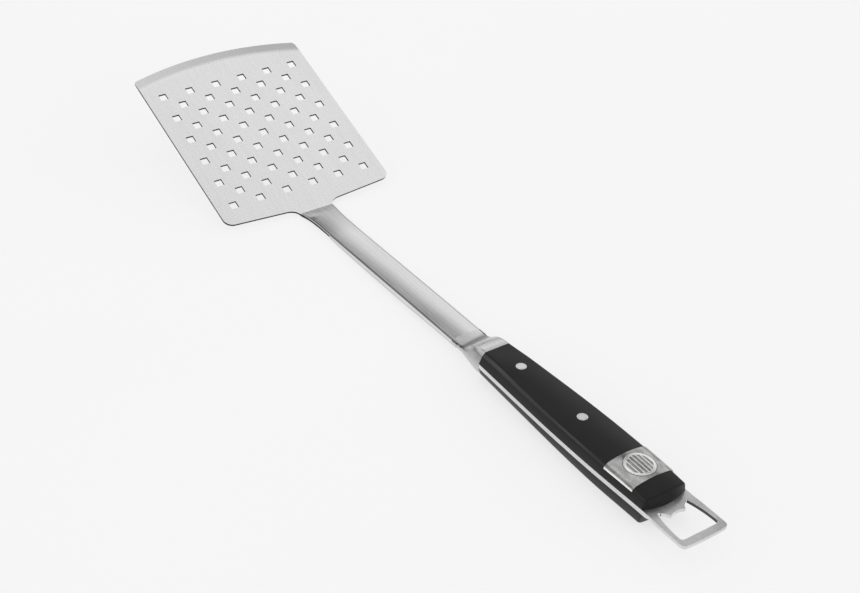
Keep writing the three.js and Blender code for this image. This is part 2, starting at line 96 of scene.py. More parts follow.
# %% [markdown]
# ## Helpers: smooth curves and rounded corners
# A real handle swells and narrows smoothly. A few widths and heights, joined by a smooth curve,
# describe that better than many points. `smoothstep` eases one shape into the next, and `hump`
# is a soft swelling at one place.

# %% Smooth curves


def through(*pairs):
    """A smooth curve through (x, value) pairs. Between two pairs the value is the cubic that meets
    both of them with slopes taken from their neighbours."""
    knots, values = np.array(pairs, float).T
    index = np.arange(len(knots))
    before, after = np.maximum(index - 1, 0), np.minimum(index + 1, len(knots) - 1)
    slopes = (values[after] - values[before]) / (knots[after] - knots[before])

    def curve(x):
        x = np.clip(x, knots[0], knots[-1])
        i = np.clip(np.searchsorted(knots, x) - 1, 0, len(knots) - 2)
        span = knots[i + 1] - knots[i]
        t = (x - knots[i]) / span
        eased = t * t * (3 - 2 * t)
        bend = t * (1 - t) * span * ((1 - t) * slopes[i] - t * slopes[i + 1])
        return values[i] + (values[i + 1] - values[i]) * eased + bend

    return curve


def smoothstep(x, start, end):
    """0 before start, 1 after end, and 3t^2 - 2t^3 in between."""
    t = np.clip((x - start) / (end - start), 0, 1)
    return t * t * (3 - 2 * t)


def hump(x, centre, width):
    """A bell of height 1: exp(-((x - centre) / width)^2)."""
    return np.exp(-(((x - centre) / width) ** 2))


print("a smoothstep a quarter of the way along:", float(smoothstep(0.25, 0, 1)))

# %% [markdown]
# Corners on real parts are never sharp. Each corner of a cross-section is replaced by a short
# parabola here, because a parabola needs only its two ends and the old corner, and a few points on
# it already catch a soft highlight.

# %% Rounded corners


def parabola(a, control, b, t):
    """Points (1-t)^2 a + 2t(1-t) control + t^2 b, one for each share t from 0 to 1."""
    t = t[:, None]
    a, control, b = (np.asarray(p, float)[..., None, :] for p in (a, control, b))
    return (1 - t) ** 2 * a + 2 * t * (1 - t) * control + t**2 * b


def bezier(a, control, b, count):
    """`count` points on the parabola from a towards b, without its last point."""
    return parabola(a, control, b, np.linspace(0, 1, count, endpoint=False))


def rounded(corners, reaches, counts):
    """Rounds the corners of closed outlines (..., n, 2). Each corner becomes a parabola that leaves
    its edges `reach` before and after the corner; straight stretches stay between them."""
    corners = np.asarray(corners, float)
    to_last = np.roll(corners, 1, -2) - corners
    to_next = np.roll(corners, -1, -2) - corners
    pieces = []
    for i, (reach, count) in enumerate(zip(reaches, counts)):
        corner = corners[..., i, :]
        back = to_last[..., i, :] / np.linalg.norm(to_last[..., i, :], axis=-1, keepdims=True)
        on = to_next[..., i, :] / np.linalg.norm(to_next[..., i, :], axis=-1, keepdims=True)
        reach = np.asarray(reach, float)[..., None]
        shares = np.linspace(0, 1, count)
        pieces.append(parabola(corner + back * reach, corner, corner + on * reach, shares))
    return np.concatenate(pieces, axis=-2)


rounded_square = rounded([(1, 1), (-1, 1), (-1, -1), (1, -1)], [0.5] * 4, [5] * 4)
print("a rounded square:", len(rounded_square), "points")


# %% [markdown]
# ## Putting a surface into Blender
# A mesh is a list of points and a list of faces that name their corner points. Points from a
# formula come as a grid, so the faces follow from the numbers of rows and columns. `add_piece`
# turns both into a Blender object, cleans it up and decides which edges look sharp.

# %% From a grid of points to a mesh


def quads(rows, columns, around=False):
    """Corner numbers of the quads in a grid of points stored row by row."""
    row, column = np.meshgrid(
        np.arange(rows - 1), np.arange(columns - (0 if around else 1)), indexing="ij"
    )
    beside = (column + 1) % columns
    here, there = row * columns, (row + 1) * columns
    return np.stack([here + column, here + beside, there + beside, there + column], -1).reshape(-1, 4)


def add_piece(name, points, faces, crease=30.0, marks=None, face_marks=None):
    """Makes a mesh object from level points, welds doubled points, turns the faces outwards and
    shades it smooth except at edges sharper than `crease` degrees. `marks` are named numbers that
    a material can read, one for each point, and `face_marks` have one for each face."""
    mesh = bpy.data.meshes.new(name)
    mesh.from_pydata(to_model(points).tolist(), [], np.asarray(faces).tolist())
    for domain, group in (("POINT", marks or {}), ("FACE", face_marks or {})):
        for mark, values in group.items():
            mesh.attributes.new(mark, "FLOAT", domain).data.foreach_set("value", values)
    work = bmesh.new()
    work.from_mesh(mesh)
    bmesh.ops.remove_doubles(work, verts=work.verts, dist=1e-7)
    bmesh.ops.dissolve_degenerate(work, edges=work.edges, dist=1e-8)
    bmesh.ops.recalc_face_normals(work, faces=work.faces)
    work.to_mesh(mesh)
    work.free()
    mesh.shade_smooth()
    mesh.set_sharp_from_angle(angle=np.radians(crease))
    piece = bpy.data.objects.new(name, mesh)
    bpy.context.scene.collection.objects.link(piece)
    print(f"{name}: {len(mesh.vertices)} points, {len(mesh.polygons)} faces")
    return piece


print("a grid of 3 by 4 points:", len(quads(3, 4)), "quads")

# %% [markdown]
# Two builders are enough for the whole tool. The first, `skin`, closes a stack of rings, like
# planks over the ribs of a boat. It makes the bar, the bolster, the scales and the rivets.

# %% A skin over rings


def skin(name, rings, crease=30.0, marks=None):
    """A closed surface through a stack of rings (rows, points, 3) whose first and last rings have
    shrunk to a point. `marks` are (rows, points) of numbers for the material."""
    rows, columns = rings.shape[:2]
    marks = {mark: np.broadcast_to(values, (rows, columns)).ravel()
             for mark, values in (marks or {}).items()}
    return add_piece(name, rings.reshape(-1, 3), quads(rows, columns, around=True), crease, marks)


print("two rings of 8 points:", len(quads(2, 8, around=True)), "quads")

# %% [markdown]
# The second builder, `thick_sheet`, makes the blade, the tang and the badge's cap. It takes the
# upper and lower faces of one grid, finds the edges that only one quad uses, and puts a wall on
# each. A boolean cut would do too, but it leaves long thin faces that shade badly.

# %% Sheets with walls


def weld_plan(patches):
    """Joins grids of plan points (rows, columns, 2) into one numbered set of points and its quads."""
    points, faces, start = [], [], 0
    for patch in patches:
        rows, columns = patch.shape[:2]
        points.append(patch.reshape(-1, 2))
        faces.append(quads(rows, columns) + start)
        start += rows * columns
    points, faces = np.concatenate(points), np.concatenate(faces)
    _, first, number = np.unique(
        np.round(points, 4), axis=0, return_index=True, return_inverse=True
    )
    return points[first], number.reshape(-1)[faces]


def open_edges(faces):
    """The directed edges of quads that no neighbour shares."""
    edges = np.stack([faces, np.roll(faces, -1, axis=1)], -1).reshape(-1, 2)
    edges = edges[edges[:, 0] != edges[:, 1]]
    _, first, count = np.unique(np.sort(edges, 1), axis=0, return_index=True, return_counts=True)
    return edges[first[count == 1]]


def thick_sheet(name, upper, lower, faces, crease=30.0, marks=None, is_cut=None):
    """A closed solid between two faces of the same grid: the upper face, the lower face turned
    over, and a wall along every open edge. The walls carry the mark `cut`, which is 0 on the faces
    and 1 on every wall that `is_cut` accepts by its middle point; the material paints the marked
    walls dark, as painted shade. `marks` are more, one number for each point of the grid."""
    count = len(upper)
    a, b = open_edges(faces).T
    walls = np.stack([b, a, a + count, b + count], -1)
    everything = np.concatenate([faces, faces[:, ::-1] + count, walls])
    marks = {mark: np.tile(values, 2) for mark, values in (marks or {}).items()}
    middles = (upper[a] + upper[b]) / 2
    # The marked walls are painted dark by the material, as painted shade.
    wall_shade = is_cut(middles) if is_cut else np.ones(len(walls))
    cut = {"cut": np.concatenate([np.zeros(2 * len(faces)), wall_shade])}
    return add_piece(name, np.concatenate([upper, lower]), everything, crease, marks, cut)


print("open edges of a single quad:", len(open_edges(np.array([[0, 1, 2, 3]]))))

# %% [markdown]
# The last two steps are the same for every piece. A Bevel modifier breaks the sharp edges where
# the real edge is soft. Then the piece gets its material, rides on the model's one body and takes
# the place of its CAD node.

# %% Eased edges and finished pieces


def ease_edges(piece, width, segments=2, softness=None):
    """Breaks the sharp edges of a piece, as tumbling or buffing does. `softness` gives each edge,
    by its middle point in the model, its share of the full width."""
    mesh = piece.data
    ends = np.empty(2 * len(mesh.edges), int)
    places = np.empty(3 * len(mesh.vertices))
    sharp = np.empty(len(mesh.edges), bool)
    mesh.edges.foreach_get("vertices", ends)
    mesh.vertices.foreach_get("co", places)
    mesh.attributes["sharp_edge"].data.foreach_get("value", sharp)
    middles = places.reshape(-1, 3)[ends].reshape(-1, 2, 3).mean(1)
    weights = sharp * (softness(middles) if softness else 1.0)
    mesh.attributes.new("bevel_weight_edge", "FLOAT", "EDGE").data.foreach_set("value", weights)
    bevel = piece.modifiers.new("eased_edges", "BEVEL")
    bevel.width = width * MM
    bevel.segments = segments
    bevel.limit_method = "WEIGHT"
    bevel.harden_normals = True
    return piece


def finish_piece(piece, material, slot, *nodes):
    """Gives a piece its finish, lets it ride on the model and hides the CAD nodes it stands for."""
    piece.data.materials.append(material)
    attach(piece, "root")
    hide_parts(*nodes)
    return piece


print("CAD nodes to stand in for:", len(frame["nodes"]))


# %% [markdown]
# ## Finishes
# Brushed steel is a polished metal with thousands of parallel scratches. They do three things: they
# vary the tone in long thin streaks, they vary the roughness, and they smear reflections across the
# scratches, which the shader calls anisotropy. One noise texture, squeezed across the brushing
# direction, drives all three. Larger, softer noise adds the uneven rub of a hand finish.

# %% A small helper for node trees


class Nodes:
    """Adds nodes to a material and links them by name."""

    def __init__(self, name):
        self.material = bpy.data.materials.new(name)
        self.material.use_nodes = True
        self.tree = self.material.node_tree
        self.shader = self.tree.nodes["Principled BSDF"]
        self.place = self.tree.nodes.new("ShaderNodeTexCoord").outputs["Object"]

    def link(self, output, target):
        self.tree.links.new(output, target)

    def noise(self, scale, stretch=(1, 1, 1), detail=4.0, roughness=0.6, offset=(0, 0, 0)):
        """Noise with `scale` features per metre, stretched by the three factors."""
        mapping = self.tree.nodes.new("ShaderNodeMapping")
        mapping.inputs["Scale"].default_value = [scale * factor for factor in stretch]
        mapping.inputs["Location"].default_value = offset
        texture = self.tree.nodes.new("ShaderNodeTexNoise")
        texture.inputs["Scale"].default_value = 1.0
        texture.inputs["Detail"].default_value = detail
        texture.inputs["Roughness"].default_value = roughness
        self.link(self.place, mapping.inputs["Vector"])
        self.link(mapping.outputs["Vector"], texture.inputs["Vector"])
        return texture.outputs["Fac"]

    def spread(self, value, low, high, source=(0.3, 0.7)):
        """Maps a value from the source range to low..high; noise mostly lies in 0.3..0.7."""
        node = self.tree.nodes.new("ShaderNodeMapRange")
        node.inputs["From Min"].default_value, node.inputs["From Max"].default_value = source
        node.inputs["To Min"].default_value = low
        node.inputs["To Max"].default_value = high
        self.link(value, node.inputs["Value"])
        return node.outputs["Result"]

    def math(self, operation, a, b):
        """A sum, product or the like of two values, each a number or an output."""
        node = self.tree.nodes.new("ShaderNodeMath")
        node.operation = operation
        for socket, value in zip(node.inputs, (a, b)):
            if isinstance(value, (int, float)):
                socket.default_value = value
            else:
                self.link(value, socket)
        return node.outputs["Value"]

    def blend(self, factor, first, second):
        """Mixes two colours, each a tuple or an output, by a factor."""
        node = self.tree.nodes.new("ShaderNodeMix")
        node.data_type = "RGBA"
        self.link(factor, node.inputs["Factor"])
        for socket, colour in ((node.inputs["A"], first), (node.inputs["B"], second)):
            if isinstance(colour, tuple):
                socket.default_value = (*colour, 1.0)
            else:
                self.link(colour, socket)
        return node.outputs["Result"]

    def bump(self, height, depth, after=None):
        """Relief of the given depth in millimetres, laid over an earlier one if there is one."""
        node = self.tree.nodes.new("ShaderNodeBump")
        node.inputs["Distance"].default_value = depth * MM
        node.inputs["Strength"].default_value = 1.0
        self.link(height, node.inputs["Height"])
        if after is not None:
            self.link(after, node.inputs["Normal"])
        return node.outputs["Normal"]

    def attribute(self, name):
        """The mark of that name on the piece."""
        node = self.tree.nodes.new("ShaderNodeAttribute")
        node.attribute_name = name
        return node.outputs["Fac"]


def grey(value):
    """A neutral colour."""
    return (value, value, value)


print("node helpers:", [name for name in vars(Nodes) if not name.startswith("_")])

# %% Steel, brushed along the tool
SCRATCH = (0.025, 1, 0.05)  # squeezes noise into scratches forty times as long as they are wide
BROAD_SCRATCH = (0.03, 1, 0.1)
RUB_SCALE = 22  # patches of hand rub per metre


def brushed_steel(name, dark, light, roughness, grain=2600.0, anisotropy=0.5, cut=None, painted_nose_shade=None,
                  ground=None):
    """Steel brushed along x, with scratches about 1 / grain metres wide. Its tone is half fine
    scratches, a fifth broad ones and the rest rub. `cut` is the colour painted as shade where the
    piece's mark of that name is 1: sheared walls and corners. `painted_nose_shade` = (x, x, share)
    paints shade in patches on the metal towards the first x, and `ground` is the colour of a ground
    bevel."""
    nodes = Nodes(name)
    fine = nodes.noise(grain, SCRATCH, detail=4, roughness=0.75)
    broad = nodes.noise(grain / 5, BROAD_SCRATCH, detail=3, offset=(3, 1, 2))
    rub = nodes.noise(RUB_SCALE, (0.6, 1, 1), detail=3, offset=(1, 4, 2))
    fine_share = nodes.math("MULTIPLY", fine, 0.5)
    streaks = nodes.math("ADD", fine_share, nodes.math("MULTIPLY", broad, 0.2))
    tone = nodes.math("ADD", streaks, nodes.math("MULTIPLY", rub, 0.3))
    colour = nodes.blend(nodes.spread(tone, 0, 1), dark, light)
    # Painted shade in patches near the shaft's nose, strongest at the first x and gone by the second.
    if painted_nose_shade:
        start, end, share = painted_nose_shade
        along = nodes.tree.nodes.new("ShaderNodeSeparateXYZ")
        nodes.link(nodes.place, along.inputs["Vector"])
        fade = nodes.spread(along.outputs["X"], share, 0, source=(start, end))
        nose_shade_share = nodes.math("MULTIPLY", fade, nodes.spread(broad, 0.7, 1.2))
        colour = nodes.blend(nose_shade_share, colour, tuple(0.45 * value for value in dark))
    if ground:
        colour = nodes.blend(nodes.attribute("bevelled"), colour, ground)
    # Painted shade: where the mark is 1, walls and corners take the dark colour.
    if cut:
        colour = nodes.blend(nodes.attribute("cut"), colour, cut)
    nodes.link(colour, nodes.shader.inputs["Base Color"])
    uneven = nodes.math("ADD", nodes.spread(fine, -0.04, 0.04), nodes.spread(rub, -0.03, 0.03))
    nodes.link(nodes.math("ADD", uneven, roughness), nodes.shader.inputs["Roughness"])
    nodes.link(nodes.bump(fine, 0.00025), nodes.shader.inputs["Normal"])
    nodes.shader.inputs["Metallic"].default_value = 1.0
    nodes.shader.inputs["Anisotropic"].default_value = anisotropy
    across_scratches = nodes.tree.nodes.new("ShaderNodeCombineXYZ")
    across_scratches.inputs["Y"].default_value = 1.0
    nodes.link(across_scratches.outputs["Vector"], nodes.shader.inputs["Tangent"])
    return nodes.material


NOSE_SHADE_REACH = 0.035  # how far along the shaft the painted shade at its nose reaches, in metres
nose_x = float(ORIGIN[0])
# The `cut` colours are painted shade: near black on the blade's walls, dark grey on the shaft's
# corners.
blade_steel = brushed_steel("blade_steel", grey(0.71), grey(0.88), 0.26,
                            cut=grey(0.03), ground=grey(0.66))
shaft_steel = brushed_steel("shaft_steel", grey(0.62), grey(0.83), 0.23,
                            grain=1800, anisotropy=0.25, cut=grey(0.24),
                            painted_nose_shade=(nose_x, nose_x + NOSE_SHADE_REACH, 0.75))
print("brushed:", blade_steel.name, shaft_steel.name)

# %% [markdown]
# The bolster, the tang and the rivets have no brushing direction: castings and stampings are
# tumbled with stones or buffed on a soft wheel. Plain noise, fine and cloudy, is enough for them.

# %% Steel, tumbled or buffed


def tumbled_steel(name, dark, light, roughness, grain=900.0, pit=0.003, cut=None):
    """Soft cloudy tone and no direction. `pit` is the depth of the fine relief in millimetres, and
    `cut` the colour painted as shade where the piece's mark of that name is 1: walls, corners,
    hollows and grooves."""
    nodes = Nodes(name)
    fine = nodes.noise(grain, detail=5, roughness=0.65)
    cloud = nodes.noise(grain / 9, detail=3, offset=(2, 5, 1))
    fine_share = nodes.math("MULTIPLY", fine, 0.45)
    tone = nodes.math("ADD", fine_share, nodes.math("MULTIPLY", cloud, 0.55))
    colour = nodes.blend(nodes.spread(tone, 0, 1), dark, light)
    # Painted shade: where the mark is 1, the piece takes the dark colour.
    if cut:
        colour = nodes.blend(nodes.attribute("cut"), colour, cut)
    nodes.link(colour, nodes.shader.inputs["Base Color"])
    uneven = nodes.spread(cloud, roughness - 0.05, roughness + 0.06)
    nodes.link(uneven, nodes.shader.inputs["Roughness"])
    nodes.link(nodes.bump(fine, pit), nodes.shader.inputs["Normal"])
    nodes.shader.inputs["Metallic"].default_value = 1.0
    return nodes.material


# The `cut` colours are painted shade on the bolster, the tang's opening walls and the rivet heads.
bolster_steel = tumbled_steel("bolster_steel", grey(0.62), grey(0.78), 0.28,
                              grain=500, pit=0.0006, cut=grey(0.12))
tang_steel = tumbled_steel("tang_steel", grey(0.62), grey(0.80), 0.28,
                           grain=450, pit=0.0006, cut=grey(0.08))
rivet_steel = tumbled_steel("rivet_steel", (0.76, 0.76, 0.75), (0.86, 0.86, 0.85), 0.30,
                            grain=1500, pit=0.0004, cut=grey(0.03))
print("tumbled:", bolster_steel.name, tang_steel.name, rivet_steel.name)

# %% [markdown]
# The scales are black moulded polymer. Under a lens it has a fine satin grain, it is a little
# glossier where hands rub it, and it is never perfectly black: dust and scratches lift its tone.

# %% Black polymer


def black_polymer():
    """Near-black plastic: fine grain in the relief, slow variation in gloss and tone."""
    nodes = Nodes("black_polymer")
    grain = nodes.noise(2600, detail=3, roughness=0.6)
    wear = nodes.noise(45, (0.5, 1, 1), detail=4, offset=(4, 1, 3))
    scuffs = nodes.noise(600, (0.08, 1, 0.5), detail=4, offset=(2, 2, 7))
    wear_share = nodes.math("MULTIPLY", wear, 0.5)
    tone = nodes.math("ADD", wear_share, nodes.math("MULTIPLY", scuffs, 0.5))
    colour = nodes.blend(nodes.spread(tone, 0, 1), (0.004, 0.004, 0.0043), (0.009, 0.0088, 0.0086))
    nodes.link(colour, nodes.shader.inputs["Base Color"])
    nodes.link(nodes.spread(wear, 0.34, 0.46), nodes.shader.inputs["Roughness"])
    relief = nodes.bump(scuffs, 0.01)
    nodes.link(nodes.bump(grain, 0.012, after=relief), nodes.shader.inputs["Normal"])
    nodes.shader.inputs["Specular IOR Level"].default_value = 0.25
    return nodes.material


scale_black = black_polymer()
print("moulded:", scale_black.name)

# %% [markdown]
# The badge is cast, then darkened and rubbed back, so its hollows stay dark and its high places
# shine. Its surface carries three marks: `relief` is 1 on top of the raised motif, `foot` is 1
# along the foot of its walls, and `burnished` is 1 where the cap folds over its shoulders. The
# material reads them, so the colour follows the shape exactly.

# %% Antiqued badge metal


def badge_finish():
    """Cloudy cast metal: lighter on the motif and on the folds, and darker at the motif's foot."""
    nodes = Nodes("badge_metal")
    cloud = nodes.noise(260, (0.6, 1, 1), detail=5, roughness=0.7)
    fine = nodes.noise(2200, (0.15, 1, 1), detail=4)
    ground = nodes.blend(nodes.spread(cloud, 0, 1), grey(0.26), (0.62, 0.62, 0.61))
    colour = nodes.blend(nodes.attribute("foot"), ground, grey(0.06))
    colour = nodes.blend(nodes.attribute("relief"), colour, (0.84, 0.84, 0.83))
    colour = nodes.blend(nodes.attribute("burnished"), colour, (0.93, 0.93, 0.92))
    nodes.link(colour, nodes.shader.inputs["Base Color"])
    nodes.link(nodes.spread(cloud, 0.18, 0.30), nodes.shader.inputs["Roughness"])
    nodes.link(nodes.bump(fine, 0.002), nodes.shader.inputs["Normal"])
    nodes.shader.inputs["Metallic"].default_value = 1.0
    return nodes.material


badge_metal = badge_finish()
print("antiqued:", badge_metal.name)

# %% [markdown]
# ## The blade
# The real blade is punched and cut from 1.2 mm sheet, brushed along its length, ground to a bevel
# along its curved front edge and bent up where its neck meets the shaft. It could be cut from a slab
# with 61 boolean holes, but then its faces would be long random slivers. Here the perforated field
# is a chessboard instead: every other square cell is a ring of quads round a hole. The margins are
# plain grids that end on the outline, and the whole flat pattern is then bent like the real sheet.

# %% Blade dimensions, in level millimetres; distances from the bend are negative towards the front
SHEET = 1.2
RISE = np.radians(20.6)
HALF_BLADE = 55.0
FRONT_CORNER_X, FRONT_MIDDLE_X = -124.0, -130.97
FRONT_CORNER_RADIUS = 2.6
HOLE, PITCH, CELLS_ACROSS = 4.7, 17.6, 11
HOLE_CORNER = 0.35
FIRST_ROW_X = -19.25
CELL = PITCH / 2
CELL_STEPS = 8
BEVEL_WIDTH, BEVEL_EDGE = 7.6, 0.5
NECK, TONGUE, TONGUE_END = 10.7, 8.6, 28.0
NECK_END_X, NECK_FILLET, FILLET_SPAN = 1.0, 5.0, 8.0
REAR_EDGE_X, REAR_SLANT, REAR_CORNER = -4.0, 0.077, 5.0
BEND_RADIUS = 5.0
NECK_LINE, FILLET_LINES = 11.0, 7.7  # the grid line at the neck's side, and the fillet's share

FIELD_REAR = FIRST_ROW_X + CELL / 2
FIELD_FRONT = FIELD_REAR - CELLS_ACROSS * CELL
HALF_FIELD = CELLS_ACROSS * CELL / 2
SAGITTA = FRONT_CORNER_X - FRONT_MIDDLE_X
FRONT_RADIUS = (HALF_BLADE**2 + SAGITTA**2) / (2 * SAGITTA)
FRONT_CENTRE = FRONT_MIDDLE_X + FRONT_RADIUS
print("radius of the front edge:", round(FRONT_RADIUS, 1), "mm")

# %% The perforated field: cells with a hole, and plain cells between them


def plan_line(x, y):
    """Plan points from x and y, each spread over the other's shape."""
    return np.stack(np.broadcast_arrays(np.asarray(x, float), y), -1)


def hole_cells(centres):
    """For each cell centre, a ring of points: edge * (1 - share) + hole * share, from the cell's
    square edge to its rounded hole. The hole's points crowd towards its corners."""
    side = np.linspace(-1, 1, CELL_STEPS, endpoint=False)
    one = np.ones_like(side)
    square = np.concatenate([
        np.stack([side, -one], -1), np.stack([one, side], -1),
        np.stack([-side, one], -1), np.stack([-one, -side], -1),
    ])
    square = np.concatenate([square, square[:1]])
    crowded = np.sign(square) * (1 - (1 - np.abs(square)) ** 2) * HOLE / 2
    core = np.clip(crowded, HOLE_CORNER - HOLE / 2, HOLE / 2 - HOLE_CORNER)
    away = crowded - core
    away *= HOLE_CORNER / np.maximum(np.linalg.norm(away, axis=-1, keepdims=True), 1e-9)
    hole = core + away
    inwards = np.array([0, 0.45, 0.8, 1])[:, None, None]
    ring = square * CELL / 2 * (1 - inwards) + hole * inwards
    return centres[:, None, None] + ring


def plain_cells(centres):
    """A square grid of points over each cell."""
    side = np.linspace(-CELL / 2, CELL / 2, CELL_STEPS + 1)
    return centres[:, None, None] + plan_line(side[:, None], side)


row, column = np.meshgrid(np.arange(CELLS_ACROSS), np.arange(CELLS_ACROSS), indexing="ij")
centres = np.stack([FIRST_ROW_X - row * CELL, (column - (CELLS_ACROSS - 1) / 2) * CELL], -1)
punched = (row + column) % 2 == 0
field = [*hole_cells(centres[punched]), *plain_cells(centres[~punched])]
print("holes:", int(punched.sum()))

# %% The margins: grids between the field and the outline


def front_edge(y):
    """x of the front edge: an arc, with a quarter circle at each corner."""
    inner = HALF_BLADE - FRONT_CORNER_RADIUS
    arc = FRONT_CENTRE - np.sqrt(FRONT_RADIUS**2 - np.minimum(np.abs(y), inner) ** 2)
    past = np.clip((np.abs(y) - inner) / FRONT_CORNER_RADIUS, 0, 1)
    return arc + FRONT_CORNER_RADIUS * (1 - np.sqrt(1 - past**2))


def bevel_start(y):
    """x where the ground bevel starts: an arc round the same centre."""
    return FRONT_CENTRE - np.sqrt((FRONT_RADIUS - BEVEL_WIDTH) ** 2 - y**2)


def rear_edge(y):
    """Points (x, y) on the rear edge for grid lines y: the end of the neck, a quarter ellipse
    beside it, a slanting edge and a rounded corner."""
    a = np.abs(y)
    fillet_end = NECK_LINE + FILLET_LINES
    slanted = REAR_EDGE_X - (a - fillet_end) * REAR_SLANT
    past = np.clip((a - (HALF_BLADE - REAR_CORNER)) / REAR_CORNER, 0, 1)
    x = slanted - REAR_CORNER * (1 - np.sqrt(1 - past**2))
    turn = np.clip((fillet_end - a) / (fillet_end - NECK_LINE), 0, 1) * np.pi / 2
    x = np.where(a < fillet_end, NECK_END_X - NECK_FILLET * np.cos(turn), x)
    width = np.where(a < fillet_end, NECK + FILLET_SPAN * (1 - np.sin(turn)), a)
    width = np.where(a < NECK_LINE, a * NECK / NECK_LINE, width)
    return x, np.sign(y) * width


def between(first, second, steps):
    """A grid of plan points that runs straight from one line of points to another."""
    t = np.asarray(steps, float)[:, None, None]
    return first * (1 - t) + second * t


field_lines = np.linspace(-HALF_FIELD, HALF_FIELD, CELLS_ACROSS * CELL_STEPS + 1)
margin = HALF_FIELD + (HALF_BLADE - HALF_FIELD) * np.sin(np.linspace(0, np.pi / 2, 12))
all_lines = np.concatenate([-margin[:0:-1], field_lines, margin[1:]])
front_lines = [plan_line(x, all_lines)
               for x in (FIELD_FRONT, bevel_start(all_lines), front_edge(all_lines))]
side_x = np.linspace(FIELD_FRONT, FIELD_REAR, CELLS_ACROSS * CELL_STEPS + 1)
crowd_to_bend = 1 - (1 - np.linspace(0, 1, 25)) ** 2
margins = [
    between(front_lines[0], front_lines[1], np.linspace(0, 1, 7)),
    between(front_lines[1], front_lines[2], np.linspace(0, 1, 4)),
    between(plan_line(FIELD_REAR, all_lines), plan_line(*rear_edge(all_lines)), crowd_to_bend),
    plan_line(side_x[:, None], margin),
    plan_line(side_x[:, None], -margin),
]
print("margin patches:", len(margins))

# %% The tongue narrows from the neck and runs on under the nose of the shaft
tongue_x = np.concatenate([np.linspace(1, 10, 10), np.linspace(12, TONGUE_END, 5)])
tongue_half = through((NECK_END_X, NECK), (6, 9.5), (14, 8.8), (TONGUE_END, TONGUE))(tongue_x)
neck_lines = all_lines[np.abs(all_lines) < NECK_LINE + 0.01] / NECK_LINE
tongue = plan_line(tongue_x[:, None], tongue_half[:, None] * neck_lines)
blade_plan, blade_faces = weld_plan(field + margins + [tongue])
print("flat pattern:", len(blade_plan), "points")

# %% Give the pattern its thickness and bevel, and bend it


def bend_up(points):
    """Bends a flat sheet about x = 0: level behind, an arc through the bend, sloping in front.
    With the arc's angle a and radius r, x = b - (r - z) sin a and z = r - (r - z) cos a."""
    x, y, z = np.moveaxis(points, -1, 0)
    b = BEND_RADIUS * RISE / 2
    angle = RISE * np.clip((b - x) / (2 * b), 0, 1)
    ahead = np.minimum(x + b, 0)
    behind = np.maximum(x - b, 0)
    radius = BEND_RADIUS - z
    return np.stack([
        b - radius * np.sin(angle) + ahead * np.cos(RISE) + behind,
        y,
        BEND_RADIUS - radius * np.cos(angle) - ahead * np.sin(RISE),
    ], -1)


from_centre = np.hypot(blade_plan[:, 0] - FRONT_CENTRE, blade_plan[:, 1])
ground_away = np.clip((from_centre - (FRONT_RADIUS - BEVEL_WIDTH)) / BEVEL_WIDTH, 0, 1)
in_front = blade_plan[:, 0] < FIELD_FRONT
upper = np.column_stack([blade_plan, -(SHEET - BEVEL_EDGE) * ground_away * in_front])
lower = np.column_stack([blade_plan, np.full(len(blade_plan), -SHEET)])
blade = thick_sheet("blade_sheet", bend_up(upper), bend_up(lower), blade_faces, crease=6.2,
                    marks={"bevelled": smoothstep(ground_away * in_front, 0.0, 0.12)})
ease_edges(blade, width=0.12)
finish_piece(blade, blade_steel, "blade_steel", "blade")

# %% [markdown]
# ## The shaft
# A forged flat bar, slightly crowned on top by the belt that brushed it, with eased edges. Its nose
# is ground down to a thin lip that laps the blade's tongue. It is a stack of rings: one rounded
# rectangle with a crown, whose corners follow smooth curves along x.

# %% Shaft: its curves, and its section
HALF_SHAFT = 8.85
SHAFT_NOSE, SHAFT_END = 0.9, 149.0
SHAFT_CROWN, SIDE_BOW, EDGE_ROUND = 0.8, 0.06, 0.4
shaft_top = through((0, 0.25), (4, 1.15), (9, 1.8), (30, 1.7), (80, 2.0), (120, 2.2), (160, 2.1))
shaft_bottom = through((0, 0.03), (27.9, 0.03), (28.6, -1.5), (60, -2.3), (100, -2.3), (140, -1.6),
                       (160, -1.6))
shaft_half = through((0, 10.6), (6, 9.65), (14, 9.0), (22, HALF_SHAFT), (160, HALF_SHAFT))
SHAFT_COUNTS = [5, 5, 5, 9, 5, 5, 5, 25]  # points at each corner of the section
SHAFT_PAINTED_SHADE = [1.0, 0.0, 1.0, 0.2, 1.0, 0.0, 1.0, 0.0]  # painted shade: the bar's edge corners are painted dark


def shaft_sections(x):
    """Rounded rectangles with a crowned top and slightly bowed sides: eight corners in (y, z) for
    each x, at half width, half width + bow, bottom, top - crown and top + crown."""
    w, low, high = shaft_half(x), shaft_bottom(x), shaft_top(x)
    crown = SHAFT_CROWN * smoothstep(x, 0, 12)
    zero = np.zeros_like(x)
    height = high - crown - low
    waist = low + 0.5 * height
    bow = w + SIDE_BOW * height * (1 - smoothstep(x, 141, 145))
    corners = np.stack([
        np.stack([-w, high - crown], -1), np.stack([-bow, waist], -1), np.stack([-w, low], -1),
        np.stack([zero, low], -1), np.stack([w, low], -1), np.stack([bow, waist], -1),
        np.stack([w, high - crown], -1), np.stack([zero, high + crown], -1),
    ], -2)
    edge, side = np.minimum(EDGE_ROUND, 0.12 * height), 0.3 * height
    return rounded(corners, [edge, side, edge, w - 1.0, edge, side, edge, w - 0.8], SHAFT_COUNTS)


print("shaft half way:", 2 * HALF_SHAFT, "mm wide,",
      round(float(shaft_top(75) + SHAFT_CROWN - shaft_bottom(75)), 1), "mm thick")

# %% Shaft: the stack of sections


